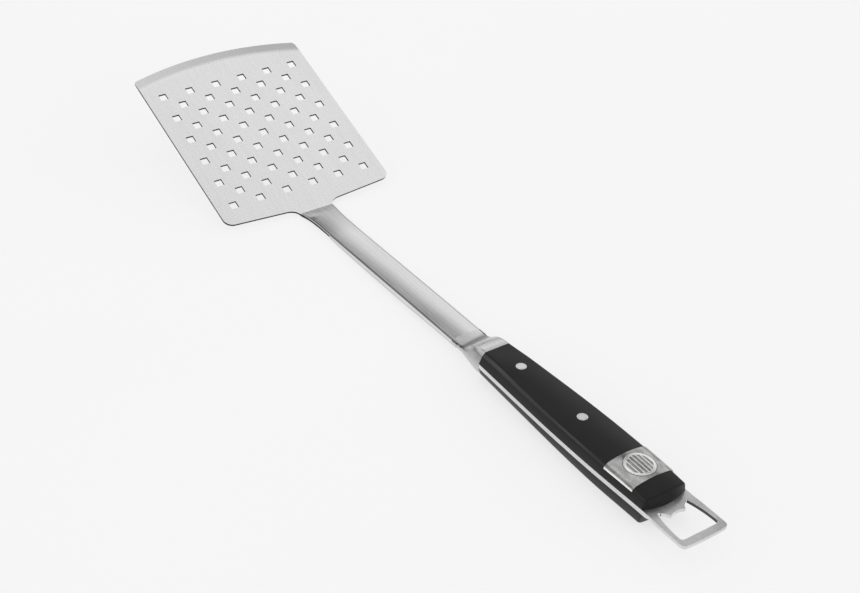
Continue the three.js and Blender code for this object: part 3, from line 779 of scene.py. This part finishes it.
def stack_sections(x, sections):
    """Puts (y, z) outlines at their x, and closes both ends towards their middle."""
    section_x = np.broadcast_to(x[:, None, None], sections.shape[:2] + (1,))
    rings = np.concatenate([section_x, sections], -1)
    first, last = (rings[i].mean(0, keepdims=True)[None] for i in (0, -1))
    shrink = np.array([0.0, 0.5])[:, None, None]
    start = first + (rings[:1] - first) * shrink
    end = last + (rings[-1:] - last) * shrink[::-1]
    return np.concatenate([start, rings, end])


shaft_x = np.concatenate([np.linspace(SHAFT_NOSE, 12, 30), np.linspace(12.6, 27.8, 20),
                          np.linspace(28.0, 28.8, 6), np.linspace(30, SHAFT_END, 90)])
shaft = skin("shaft_bar", stack_sections(shaft_x, shaft_sections(shaft_x)),
             marks={"cut": np.repeat(SHAFT_PAINTED_SHADE, SHAFT_COUNTS)})
finish_piece(shaft, shaft_steel, "shaft_steel", "shaft")

# %% [markdown]
# ## The handle's cross-sections
# Bolster and scales share one eight-sided outline that changes along the handle. These curves give
# its half width at the tang, the heights of its shoulders and its crest, and how far each edge
# stands in from the side.

# %% Curves along the handle
BOLSTER_FRONT, BOLSTER_REAR = 145.5, 171.4
SEAM = 0.06  # what a well fitted joint still shows
TANG_BOTTOM = 0.8
SCALE_END = 297.5
half_width = through((171.4, 11.1), (200, 12.4), (230, 13.6), (262, 14), (298, 13.4), (308, 13.8))
upper_shoulder = through((171.4, 7.4), (195, 7.6), (240, 7.9), (265, 8.3), (286, 8.3), (299, 7.6))
upper_crest = through((171.4, 9.2), (190, 10.2), (240, 10.9), (270, 11.3), (288, 10.8), (299, 9.4))
edge_share = through((171.4, 1), (200, 0.7), (245, 0.5), (299, 0.5))
lower_shoulder = through((171.4, -4), (220, -5.2), (250, -6.4), (272, -7.1), (299, -7.2))
shoulder_inset = through((171.4, 1.9), (195, 1.35), (215, 1.1), (299, 1.1))
top_edge_inset = through((171.4, 3.7), (200, 3), (245, 2.3), (272, 2.8), (299, 2.4))
LOWER_SHOULDER_INSET, BOTTOM_EDGE_INSET, BOTTOM_EDGE_ROUND = 1.8, 3.5, 0.6


def rest_height(x):
    """Level height of the plane that the tool lies on."""
    return -SHEET - x * np.tan(REST_SLOPE)


print("handle at its widest:", 2 * float(half_width(262)), "mm")

# %% [markdown]
# ## The bolster
# A cast collar that swells from the bar to the handle. Each corner of the outline travels from its
# place on the bar to its place on the handle; the top face does so in an S with a hollow, a low
# bead and a fine groove, and then runs level as the land that the scale butts against.

# %% Bolster: where it swells, and its section
FLANK_SWELL, TOP_SWELL, LAND_RISE = (150.5, 168.5), (147.5, 166.0), (163, 170)
HOLLOW_X, BEAD_X, GROOVE_X = 154.5, 160.0, 165.6
SKIN_DEPTH = 0.05  # the bolster's front lies this much over the bar
BOLSTER_COUNTS = [21, 5, 6, 5, 4, 6, 5, 15, 5, 6, 4, 5, 6, 5]  # points at each corner


def bolster_sections(x):
    """Eight-sided outlines whose corners go from the bar's corners to the handle's: each is
    (1 - flare) * front + flare * rear, with its own flare along x."""
    w, r = half_width(BOLSTER_REAR), BOLSTER_REAR
    low, high = shaft_bottom(x) - SKIN_DEPTH, shaft_top(x) + SKIN_DEPTH
    side = HALF_SHAFT + SKIN_DEPTH
    body = smoothstep(x, *FLANK_SWELL)
    top = 0.93 * smoothstep(x, *TOP_SWELL) ** 1.7 + 0.07 * smoothstep(x, *LAND_RISE)
    bead = 0.45 * hump(x, BEAD_X, 2.0) - 0.12 * hump(x, GROOVE_X, 1.4)

    def corner(front, rear, flare, lift=0.0):
        y = front[0] + (rear[0] - front[0]) * flare
        z = front[1] + (rear[1] - front[1]) * flare + lift
        return np.stack([y, z], -1)

    crest = corner((0, high + SHAFT_CROWN), (0, upper_crest(r) + 0.05), top, bead)
    edge = corner((side - EDGE_ROUND, high - SHAFT_CROWN), (w - top_edge_inset(r), upper_crest(r)),
                  top, bead)
    shoulder = corner((side, high - SHAFT_CROWN - EDGE_ROUND),
                      (w - shoulder_inset(r), upper_shoulder(r)), body**1.3)
    waist = corner((side, 0.9), (w, TANG_TOP), body)
    hip = corner((side, 0.3), (w, TANG_BOTTOM), body)
    low_shoulder = corner((side, low + 0.8), (w - LOWER_SHOULDER_INSET, lower_shoulder(r)), body)
    bottom = corner((side - 0.7, low), (w - BOTTOM_EDGE_INSET, rest_height(r) + 0.1), body**1.2)
    middle = corner((0, low), (0, rest_height(r) + 0.1), body**1.2)
    right = [edge, shoulder, waist, hip, low_shoulder, bottom]
    mirror = [corner_points * [-1, 1] for corner_points in right]
    corners = np.stack([crest, *right, middle, *mirror[::-1]], -2)
    wide = edge[..., 0]
    chamfer = np.linalg.norm(edge - shoulder, axis=-1)
    fine = np.minimum(0.12 + 0.4 * smoothstep(x, 153, 165), 0.4 * chamfer)
    reach = [wide - 0.7, fine, fine, 0.5, 0.35, 0.7, 0.6]
    return rounded(corners, [*reach, bottom[..., 0] - 0.8, *reach[:0:-1]], BOLSTER_COUNTS)


bolster_x = np.linspace(BOLSTER_FRONT, BOLSTER_REAR - SEAM, 110)
bolster_rings = stack_sections(bolster_x, bolster_sections(bolster_x))
print("bolster rings:", bolster_rings.shape)

# %% [markdown]
# The bolster's hollows and corners are painted darker, as painted shade. The mark `cut` says how
# much, from 0 to 1: painted shade along a corner, more of it in the top's hollow and groove, and
# more or less of it towards the bar. All three are sums of smooth curves along x.

# %% Bolster: painted shade, and the piece
# For each corner: painted shade everywhere, in the hollows of the top, and towards the bar.
RIGHT_SHADE = [(0.1, 0.8, 0.8), (0.45, 0.2, 0.6), (0.35, 0, -0.3),
               (0.25, 0, -0.2), (0.25, 0, 0), (0.2, 0, 0)]
BOLSTER_SHADE = [(0, 1, 0), *RIGHT_SHADE, (0.2, 0, 0), *RIGHT_SHADE[::-1]]
station = bolster_x[:, None]
in_hollows = 0.7 * hump(station, HOLLOW_X, 3.6) + 0.15 * hump(station, GROOVE_X, 1.1)
barwards = 1 - smoothstep(station, 149, 158)
even, deep, near_bar = np.repeat(BOLSTER_SHADE, BOLSTER_COUNTS, axis=0).T
bolster_painted_shade = np.clip(even + near_bar * barwards + in_hollows * deep, 0, 1)
bolster_painted_shade = np.concatenate([bolster_painted_shade[:1], bolster_painted_shade[:1], bolster_painted_shade, bolster_painted_shade[-1:], bolster_painted_shade[-1:]])
bolster = skin("bolster_casting", bolster_rings, marks={"cut": bolster_painted_shade})
finish_piece(bolster, bolster_steel, "bolster_steel", "bolster")

# %% [markdown]
# ## The tang and its bottle opener
# One plate runs through the whole handle: its edge is the bright stripe between the scales, and its
# end is punched out as a bottle opener. The handle part is a grid whose sides follow the half-width
# curve. Round the opening, a ring of quads runs from the plate's outline to the punched edge.

# %% The toothed opening
TENON, TENON_FRONT = 6.8, 160.5
OPENER_START, OPENER_END, HALF_OPENER, OPENER_CORNER = 300.0, 326.3, 13.8, 3.0
OPENING_FRONT, OPENING_REAR, HALF_OPENING, OPENING_CORNER = 303.2, 321.9, 11.3, 2.2
TOOTH_X, TOOTH_Y = 307.2, 4.5
OPENER_THINNER = 0.6  # how much the opener is ground away underneath
STRETCH, LONG_RUN = 8, 16  # points on each curve of the toothed edge, and on each long run

toothed = [
    ((OPENING_FRONT, -9), (302.6, -7.9), (304.1, -7)),
    ((304.1, -7), (304.8, -5.6), (TOOTH_X, -TOOTH_Y)),
    ((TOOTH_X, -TOOTH_Y), (305.0, 0), (TOOTH_X, TOOTH_Y)),
    ((TOOTH_X, TOOTH_Y), (304.8, 5.6), (304.1, 7)),
    ((304.1, 7), (302.6, 7.9), (OPENING_FRONT, 9)),
]
far = OPENING_REAR - OPENING_CORNER
near_side = HALF_OPENING - OPENING_CORNER
opening = np.concatenate([
    *[bezier(a, c, b, STRETCH) for a, c, b in toothed],
    bezier((OPENING_FRONT, 9), (311, 11.2), (far, HALF_OPENING), LONG_RUN),
    bezier((far, HALF_OPENING), (OPENING_REAR, HALF_OPENING), (OPENING_REAR, near_side), STRETCH),
    bezier((OPENING_REAR, near_side), (OPENING_REAR, 0), (OPENING_REAR, -near_side), LONG_RUN),
    bezier((OPENING_REAR, -near_side), (OPENING_REAR, -HALF_OPENING), (far, -HALF_OPENING), STRETCH),
    bezier((far, -HALF_OPENING), (311, -11.2), (OPENING_FRONT, -9), LONG_RUN),
])
print("points round the opening:", len(opening))

# %% The tang's outline, and its flat pattern
END_BOW, CORNER_BACK = 0.4, 0.5
across = np.linspace(-1, 1, 5 * STRETCH + 1)
w, e, r = HALF_OPENER, OPENER_END, OPENER_CORNER
side_run = np.linspace(OPENER_START, e - r, LONG_RUN, endpoint=False)
side_step = (e - r - OPENER_START) / LONG_RUN
outline = np.concatenate([
    plan_line(OPENER_START, across[:-1] * half_width(OPENER_START)),
    plan_line(side_run, half_width(side_run)),
    bezier((e - r, w), (e - CORNER_BACK, w), (e - END_BOW, w - r), STRETCH),
    bezier((e - END_BOW, w - r), (e + END_BOW, 0), (e - END_BOW, r - w), LONG_RUN),
    bezier((e - END_BOW, r - w), (e - CORNER_BACK, -w), (e - r, -w), STRETCH),
    plan_line(side_run[::-1] + side_step, -half_width(side_run[::-1])),
])
ring = between(outline, opening, [0, 0.35, 0.7, 1])
ring = np.concatenate([ring, ring[:, :1]], axis=1)
grip_x = np.linspace(BOLSTER_REAR + SEAM, OPENER_START, 80)
grip = plan_line(grip_x[:, None], half_width(grip_x)[:, None] * across)
tenon_lines = across[np.abs(across) < TENON / half_width(BOLSTER_REAR)]
tenon_x = np.array([TENON_FRONT, 166, BOLSTER_REAR + SEAM])
tenon = plan_line(tenon_x[:, None], half_width(tenon_x[-1]) * tenon_lines)
tang_plan, tang_faces = weld_plan([grip, ring, tenon])
print("tang pattern:", len(tang_plan), "points")

# %% [markdown]
# The opening's side walls are painted dark, as painted shade, while the outside of the plate is
# tumbled bright.
# The opener's edges are well rounded, because hands and bottles meet them; under the scales the
# plate keeps its sharp edge, or the seam would show as a groove.

# %% The tang as a piece


def is_shaded_opening_wall(middle):
    """True for the walls at the two sides of the opening, which are painted dark as painted shade."""
    x, y = middle[:, 0], np.abs(middle[:, 1])
    return (x > 303.5) & (x < 323) & (y > 7.2) & (y < 12)


def is_opener(middle):
    """True for the edges behind the scales, by their middle point in the model."""
    return middle[:, 0] > to_model((OPENER_START + 2, 0, TANG_TOP))[0]


tang_upper = np.full(len(tang_plan), TANG_TOP)
tang_lower = TANG_BOTTOM + OPENER_THINNER * smoothstep(tang_plan[:, 0], 299, 304)
tang = thick_sheet("tang_plate", np.column_stack([tang_plan, tang_upper]),
                   np.column_stack([tang_plan, tang_lower]), tang_faces, is_cut=is_shaded_opening_wall)
ease_edges(tang, width=0.75, segments=4, softness=is_opener)
finish_piece(tang, tang_steel, "tang_steel", "tang_with_bottle_opener")

# %% [markdown]
# ## The scales
# Each scale is a stack of outlines: a flat foot on the tang, a side that leans in, a soft shoulder
# and a crowned face. The rear end bows out in plan and its edge is rounded by shrinking the last
# outlines along a quarter circle, as a sanding belt would.

# %% Outlines of the scales
FOOT_ROUND = 0.12


def upper_sections(x):
    """(y, z) outlines of the upper scale: foot, leaning side, shoulder, top edge and crown, which
    is the parabola edge + (crest - edge)(1 - (y / half)^2)."""
    w, shoulder, crest = half_width(x), upper_shoulder(x), upper_crest(x)
    edge = shoulder + edge_share(x) * (crest - shoulder)
    foot = np.full_like(x, TANG_TOP + SEAM)
    right = [np.stack([w - top_edge_inset(x), edge], -1),
             np.stack([w - shoulder_inset(x), shoulder], -1),
             np.stack([w, foot], -1)]
    left = [corner * [-1, 1] for corner in right[::-1]]
    crown = np.stack([0 * x, 2 * crest - edge], -1)
    middle = np.stack([0 * x, foot], -1)
    corners = np.stack([crown, *right, middle, *left], -2)
    top_reach = np.clip(edge_share(x) * 0.9, 0.45, 0.9)
    span = np.linalg.norm(corners[..., 0, :] - corners[..., 1, :], axis=-1)
    shoulder_reach = 0.5 + 0.5 * smoothstep(x, 172, 200)
    reaches = [span - top_reach * 1.05, top_reach, shoulder_reach, FOOT_ROUND, w - 0.2, FOOT_ROUND,
               shoulder_reach, top_reach]
    return rounded(corners, reaches, [33, 7, 8, 3, 25, 3, 8, 7])


def lower_sections(x):
    """(y, z) outlines of the lower scale: a flat bottom on the resting plane, a chamfer, a leaning
    side and a flat top against the tang."""
    w, low = half_width(x), rest_height(x)
    top = np.full_like(x, TANG_BOTTOM - SEAM)
    right = [np.stack([w, top], -1),
             np.stack([w - LOWER_SHOULDER_INSET, lower_shoulder(x)], -1),
             np.stack([w - BOTTOM_EDGE_INSET, low], -1)]
    left = [corner * [-1, 1] for corner in right[::-1]]
    corners = np.stack([np.stack([0 * x, top], -1), *right, np.stack([0 * x, low], -1), *left], -2)
    side = [FOOT_ROUND, 0.8, BOTTOM_EDGE_ROUND]
    reaches = [w - 0.2, *side, w - BOTTOM_EDGE_INSET - 0.7, *side[::-1]]
    return rounded(corners, reaches, [25, 3, 7, 6, 25, 6, 7, 3])


print("points in a scale's outline:", upper_sections(np.array([200.0])).shape[1])

# %% Scales: stack the outlines, round the rear end and close it with a bowed face
END_ROUND = 0.6
FOOT_BULGE, FACE_BULGE, LOWER_RAKE = 3.0, 1.4, 3.5


def scale_rings(sections_at, foot_height, rake):
    """Rings of a scale. At a share t of the length, x = front + t * (end - front), where the end
    depends on the place in the outline: end = corner + bulge * (1 - side^2) - rake * rise."""
    front = BOLSTER_REAR + SEAM
    t = np.concatenate([np.linspace(0, 0.93, 90), np.linspace(0.935, 1, 20)])
    x = front + t * (SCALE_END - front)
    outline_yz = sections_at(x)
    height = np.abs(outline_yz[..., 1] - foot_height)
    tallest = height.max(axis=1, keepdims=True)

    def end_x(y, rise):
        side = np.clip(np.abs(y) / half_width(SCALE_END), 0, 1)
        bulge = FOOT_BULGE + (FACE_BULGE - FOOT_BULGE) * rise
        return SCALE_END + bulge * (1 - side**2) - rake * rise

    stretched = front + t[:, None] * (end_x(outline_yz[..., 0], height / tallest) - front)
    body = np.dstack([stretched, outline_yz])
    last = outline_yz[-1]
    turn = np.linspace(0, np.pi / 2, 7)[1:, None]
    inset = END_ROUND * (1 - np.cos(turn))
    scaled_y = last[:, 0] * (1 - inset / half_width(SCALE_END))
    scaled_z = foot_height + (last[:, 1] - foot_height) * (1 - inset / tallest[-1])
    rise = np.abs(scaled_z - foot_height) / tallest[-1]
    back = END_ROUND * (np.sin(turn) - 1)
    edge = np.dstack([end_x(scaled_y, rise) + back, scaled_y, scaled_z])
    round_start = end_x(last[:, 0], height[-1] / tallest[-1]) - END_ROUND
    body[:, :, 0] = np.minimum(body[:, :, 0], round_start)
    face_share = np.linspace(1, 0, 24)[1:, None]
    face_y = edge[-1, :, 1] * face_share
    face_z = foot_height + (edge[-1, :, 2] - foot_height) * face_share
    face = np.dstack([end_x(face_y, np.abs(face_z - foot_height) / tallest[-1]), face_y, face_z])
    centre = np.array([0.0, foot_height])
    cap = centre + (outline_yz[:1] - centre) * np.array([0.0, 0.5])[:, None, None]
    start = np.dstack([np.full((2, len(last)), front), cap])
    rings = np.concatenate([start, body, edge, face])
    rings[..., 2] = np.maximum(rings[..., 2], rest_height(rings[..., 0]))
    return rings


upper_scale = skin("upper_scale_grip", scale_rings(upper_sections, TANG_TOP + SEAM, 0.0))
finish_piece(upper_scale, scale_black, "scale_black", "upper_scale")
lower_scale = skin("lower_scale_grip", scale_rings(lower_sections, TANG_BOTTOM - SEAM, LOWER_RAKE))
finish_piece(lower_scale, scale_black, "scale_black", "lower_scale")

# %% [markdown]
# ## The badge
# A cast cap let into the upper scale, following its crown and folding down over its shoulders. It
# carries a plain generic motif, a round grate with bars. The motif is real relief in a fine grid of
# points, not only bump, so it is part of the mesh itself.

# %% The badge's motif
BADGE_FRONT, BADGE_REAR, BADGE_FLOOR = 269.9, 289.2, 7.7
BADGE_PROUD, BADGE_THICK = 0.3, 0.8
MOTIF_HEIGHT = 0.28
MOTIF_RADIUS, MOTIF_RING = 7.0, 0.75
BAR_PITCH, BAR_HALF = 2.1, 0.42
MOTIF_WALL = 0.17  # half the width of the motif's sloping walls


def motif(x, y, wider=0.0):
    """Height share of the motif: 1 on a ring and on the bars inside it, 0 elsewhere, and a
    smoothstep of the distance from the edge on its walls. `wider` moves the walls out."""
    distance = np.hypot(x - (BADGE_FRONT + BADGE_REAR) / 2, y)
    off_ring = np.abs(distance - MOTIF_RADIUS) - MOTIF_RING - wider
    off_bar = np.abs((y + BAR_PITCH / 2) % BAR_PITCH - BAR_PITCH / 2) - BAR_HALF - wider
    inside = 1 - smoothstep(distance, MOTIF_RADIUS - 0.3, MOTIF_RADIUS)
    bars = inside * (1 - smoothstep(off_bar, -MOTIF_WALL, MOTIF_WALL))
    return np.maximum(1 - smoothstep(off_ring, -MOTIF_WALL, MOTIF_WALL), bars)


print("motif height at its centre:", float(motif((BADGE_FRONT + BADGE_REAR) / 2, 0)))

# %% The badge's outline
BADGE_COLUMNS, LIP_POINTS, LIP_FLARE = 215, 8, 0.14
EDGE_BLEND, BLEND_LOSS = 0.25, 0.08  # softness of the top edge, and the height it costs


def badge_outline(x, grow):
    """The open outline at each x, from floor to floor. On top it is the lower of a parabola, the
    crown, and a sloping line, the chamfer, blended as -s log(exp(-crown / s) + exp(-chamfer / s)).
    At both sides it folds down to the floor."""
    w, shoulder, crest = half_width(x), upper_shoulder(x) + grow, upper_crest(x) + grow
    edge = shoulder + edge_share(x) * (crest - shoulder)
    half_top, half_shoulder = w - top_edge_inset(x) + grow, w - shoulder_inset(x) + grow
    side = np.linspace(-1, 1, BADGE_COLUMNS)
    y = half_shoulder[:, None] * side
    share = np.abs(y) / half_top[:, None]
    crown = edge[:, None] + (crest - edge)[:, None] * (1 - share**2)
    past = (np.abs(y) - half_top[:, None]) / (half_shoulder - half_top)[:, None]
    chamfer = edge[:, None] + (shoulder - edge)[:, None] * past
    sum_of_both = np.exp(-crown / EDGE_BLEND) + np.exp(-chamfer / EDGE_BLEND)
    z = -EDGE_BLEND * np.log(sum_of_both) + BLEND_LOSS
    lip = np.linspace(1, 0, LIP_POINTS, endpoint=False)[None, :]
    lip_y = half_shoulder[:, None] + LIP_FLARE * lip
    lip_z = z[:, -1:] + (BADGE_FLOOR - z[:, -1:]) * lip
    y = np.concatenate([-lip_y, y, lip_y[:, ::-1]], 1)
    z = np.concatenate([lip_z, z, lip_z[:, ::-1]], 1)
    return y, z


print("points in the badge's outline:", BADGE_COLUMNS + 2 * LIP_POINTS)

# %% Badge
badge_x = np.linspace(BADGE_FRONT, BADGE_REAR, 160)
outer_y, outer_z = badge_outline(badge_x, BADGE_PROUD)
inner_y, inner_z = badge_outline(badge_x, BADGE_PROUD - BADGE_THICK)
grid_x = np.broadcast_to(badge_x[:, None], outer_y.shape)
relief = motif(grid_x, outer_y)
foot = motif(grid_x, outer_y, wider=0.3) - relief
half_fold = (half_width(badge_x) - shoulder_inset(badge_x) + BADGE_PROUD)[:, None]
burnished = smoothstep(np.abs(outer_y), half_fold - 0.45, half_fold - 0.1)
upper = np.dstack([grid_x, outer_y, outer_z + MOTIF_HEIGHT * relief]).reshape(-1, 3)
lower = np.dstack([grid_x, inner_y, inner_z]).reshape(-1, 3)
badge = thick_sheet("badge_cap", upper, lower, quads(*outer_y.shape), crease=40,
                    marks={"relief": relief.ravel(), "foot": foot.ravel(),
                           "burnished": burnished.ravel()})
ease_edges(badge, width=0.15)
finish_piece(badge, badge_metal, "badge_metal", "badge")

# %% [markdown]
# ## The rivets
# Cutler's rivets: a headed stud pressed into a headed sleeve. Only the flat heads show, each with a
# fine turned groove. They are turned shapes: a profile carried round an axis.

# %% Rivets
RIVET_X, RIVET_PITCH = 191.0, 47.4
HEAD_RADIUS, HEAD_HEIGHT = 2.9, 1.4
STUD_RADIUS, SLEEVE_BORE, SLEEVE_RADIUS = 1.5, 1.8, 2.4
HEAD_PROUD, HEAD_BURIED = 0.07, 1.9  # above the scale's crest, or below it under the badge
FOOT_CLEARANCE = 0.02
RIVET_SIDES = 72


def turned(name, x, profile, dark, slope):
    """Carries (radius, height) pairs round an upright axis at x and tips the disc to follow the
    handle: point = (x + r cos a, r sin a, h + slope * r cos a). `dark` marks the profile's points
    that are painted dark as painted shade: the rim fully, the groove partly."""
    radius, height = np.array(profile, float).T[..., None]
    angle = np.linspace(0, 2 * np.pi, RIVET_SIDES, endpoint=False)
    off = radius * np.cos(angle)
    rings = np.dstack([x + off, radius * np.sin(angle), height + slope * off])
    return skin(name, rings, crease=15, marks={"cut": np.array(dark, float)[:, None]})


def head_profile(face, out, groove=0.05):
    """The visible face of a head from its rim to its middle: an eased rim, a land, a fine groove
    and the disc inside it. `out` is 1 when the face looks up and -1 when it looks down."""
    r, g = HEAD_RADIUS, 0.7 * HEAD_RADIUS
    return [(r, face - out * 0.3), (r - 0.08, face - out * 0.1), (r - 0.25, face),
            (g + 0.1, face), (g, face - out * groove), (g - 0.1, face), (0, face)]


# Painted shade on each head: the rim fully dark, the groove partly.
HEAD_PAINTED_SHADE = [1, 1, 0, 0, 0.6, 0, 0]
floor_slope = -np.tan(REST_SLOPE)
for i, place in enumerate(("front", "middle", "rear")):
    x = RIVET_X + i * RIVET_PITCH
    top = upper_crest(x) + (HEAD_PROUD if x < BADGE_FRONT else -HEAD_BURIED)
    slope = upper_crest(x + 1) - upper_crest(x)
    bottom = rest_height(x) + FOOT_CLEARANCE
    under_head, over_foot = top - HEAD_HEIGHT, bottom + HEAD_HEIGHT
    stud = [(0, bottom + 2), (STUD_RADIUS, bottom + 2), (STUD_RADIUS, under_head),
            (HEAD_RADIUS, under_head)]
    sleeve = [(0, over_foot), (SLEEVE_BORE, over_foot), (SLEEVE_BORE, top - 2),
              (SLEEVE_RADIUS, top - 2), (SLEEVE_RADIUS, over_foot), (HEAD_RADIUS, over_foot)]
    head = turned(f"{place}_rivet_head", x, stud + head_profile(top, 1),
                  [0] * len(stud) + HEAD_PAINTED_SHADE, slope)
    tail = turned(f"{place}_rivet_foot", x, sleeve + head_profile(bottom, -1),
                  [0] * len(sleeve) + HEAD_PAINTED_SHADE, floor_slope)
    finish_piece(head, rivet_steel, "rivet_steel", f"{place}_rivet_stud")
    finish_piece(tail, rivet_steel, "rivet_steel", f"{place}_rivet_sleeve")

# %% [markdown]
# ## Floor, light and camera
# Steel shows what is around it, so lighting a steel tool means building its surroundings. The floor
# is pale paper that gives off some light of its own, so the tool's shadow stays faint. It is clear
# from behind, so that views from below still show the underside.

# %% Floor
FLOOR_REACH, FLOOR_GAP = 6.0, 0.0001  # metres; the gap keeps floor and tool from flickering
floor_mesh = bpy.data.meshes.new("studio_floor")
floor_z = cad_box[0][2] - FLOOR_GAP
corner_signs = ((-1, -1), (1, -1), (1, 1), (-1, 1))
floor_corners = [(a * FLOOR_REACH, b * FLOOR_REACH, floor_z) for a, b in corner_signs]
floor_mesh.from_pydata(floor_corners, [], [(0, 1, 2, 3)])
floor = bpy.data.objects.new("studio_floor", floor_mesh)
bpy.context.scene.collection.objects.link(floor)
paper = Nodes("studio_paper")
mottle = paper.noise(3, detail=2)
paper_colour = paper.blend(paper.spread(mottle, 0, 1), grey(0.30), grey(0.31))
paper.link(paper_colour, paper.shader.inputs["Base Color"])
paper.shader.inputs["Roughness"].default_value = 0.9
paper.shader.inputs["Specular IOR Level"].default_value = 0.0
paper.shader.inputs["Emission Color"].default_value = (1, 1, 1, 1)
paper.shader.inputs["Emission Strength"].default_value = 0.69
clear = paper.tree.nodes.new("ShaderNodeBsdfTransparent")
side_seen = paper.tree.nodes.new("ShaderNodeNewGeometry")
two_sided = paper.tree.nodes.new("ShaderNodeMixShader")
paper.link(side_seen.outputs["Backfacing"], two_sided.inputs["Fac"])
paper.link(paper.shader.outputs["BSDF"], two_sided.inputs[1])
paper.link(clear.outputs["BSDF"], two_sided.inputs[2])
paper.link(two_sided.outputs["Shader"], paper.tree.nodes["Material Output"].inputs["Surface"])
floor_mesh.materials.append(paper.material)
print("floor at", floor_z)

# %% [markdown]
# The sky is a ramp of brightness over height, as the walls, gaps and lamps of a studio would be. A
# dim gap half way up gives the crowned shaft its run from dark to light, a bright band above it
# lights the blade, and a dim band at the horizon darkens whatever turns away. The camera itself
# sees a plain pale backdrop, and only the metal sees the ramp.

# %% Sky
BACKDROP = 0.93
world = bpy.data.worlds.new("studio")
bpy.context.scene.world = world
world.use_nodes = True
sky = world.node_tree
direction = sky.nodes.new("ShaderNodeTexCoord").outputs["Generated"]
parts = sky.nodes.new("ShaderNodeSeparateXYZ")
ramp = sky.nodes.new("ShaderNodeValToRGB")
sky.links.new(direction, parts.inputs["Vector"])
height = sky.nodes.new("ShaderNodeMapRange")
height.inputs["From Min"].default_value = -1.0
sky.links.new(parts.outputs["Z"], height.inputs["Value"])
sky.links.new(height.outputs["Result"], ramp.inputs["Fac"])
stops = [(-90, BACKDROP), (-4, BACKDROP), (0, 0.3), (9, 0.35), (17, 0.98), (31, 1.02), (37, 0.7),
         (42, 0.14), (47.5, 0.18), (53, 1.36), (58, 1.08), (66, 0.68), (90, 0.72)]
while len(ramp.color_ramp.elements) < len(stops):
    ramp.color_ramp.elements.new(0.5)
for element, (elevation, brightness) in zip(ramp.color_ramp.elements, stops):
    element.position = (1 + np.sin(np.radians(elevation))) / 2
    element.color = (*grey(brightness), 1)
background = sky.nodes["Background"]
sky.links.new(ramp.outputs["Color"], background.inputs["Color"])
backdrop = sky.nodes.new("ShaderNodeBackground")
backdrop.inputs["Color"].default_value = (*grey(BACKDROP), 1)
seen = sky.nodes.new("ShaderNodeLightPath")
chooser = sky.nodes.new("ShaderNodeMixShader")
sky.links.new(seen.outputs["Is Camera Ray"], chooser.inputs["Fac"])
sky.links.new(background.outputs["Background"], chooser.inputs[1])
sky.links.new(backdrop.outputs["Background"], chooser.inputs[2])
sky.links.new(chooser.outputs["Shader"], sky.nodes["World Output"].inputs["Surface"])
print("sky stops:", len(stops))

# %% [markdown]
# Black polymer reflects so little of the sky that its side would be lost. One soft box grazes it
# and draws the light line along the shoulder. Light linking keeps it off the steel, which has its
# highlights already.

# %% A soft box for the scales
BOX_PLACE, BOX_AIM, BOX_SIZE, BOX_POWER = (-0.95, -1.1, 0.62), (0.05, 0, 0), (0.9, 0.25), 5.0


def soft_box(name, place, aim, size, power):
    """A rectangular area light at a place, facing a point."""
    light = bpy.data.lights.new(name, "AREA")
    light.shape = "RECTANGLE"
    light.size, light.size_y = size
    light.energy = power
    lamp = bpy.data.objects.new(name, light)
    away = np.array(place, float) - np.array(aim, float)
    lamp.rotation_euler = Vector(away).to_track_quat("Z", "Y").to_euler()
    lamp.location = place
    bpy.context.scene.collection.objects.link(lamp)
    return lamp


handle_light = soft_box("side_soft_box", BOX_PLACE, BOX_AIM, BOX_SIZE, BOX_POWER)
lit = bpy.data.collections.new("lit_by_side_soft_box")
for piece in (upper_scale, lower_scale):
    lit.objects.link(piece)
handle_light.light_linking.receiver_collection = lit

# %% [markdown]
# The camera looks down from behind the opener, so the handle comes forward and the blade recedes.
# A longish lens keeps that foreshortening gentle. Its slight roll is part of the view.

# %% Camera
LENS, SENSOR = 67.25, 36.0
CAMERA_PLACE = (0.5554, -0.4229, 0.5064)
CAMERA_TURN = (54.12, -3.70, 54.79)  # degrees
lens = bpy.data.cameras.new("camera")
lens.lens, lens.sensor_width = LENS, SENSOR
camera = bpy.data.objects.new("camera", lens)
camera.location = CAMERA_PLACE
camera.rotation_euler = np.radians(CAMERA_TURN)
bpy.context.scene.collection.objects.link(camera)
bpy.context.scene.camera = camera
bpy.context.scene.view_settings.view_transform = "Standard"
print("field of view:", round(float(np.degrees(lens.angle)), 1), "degrees")
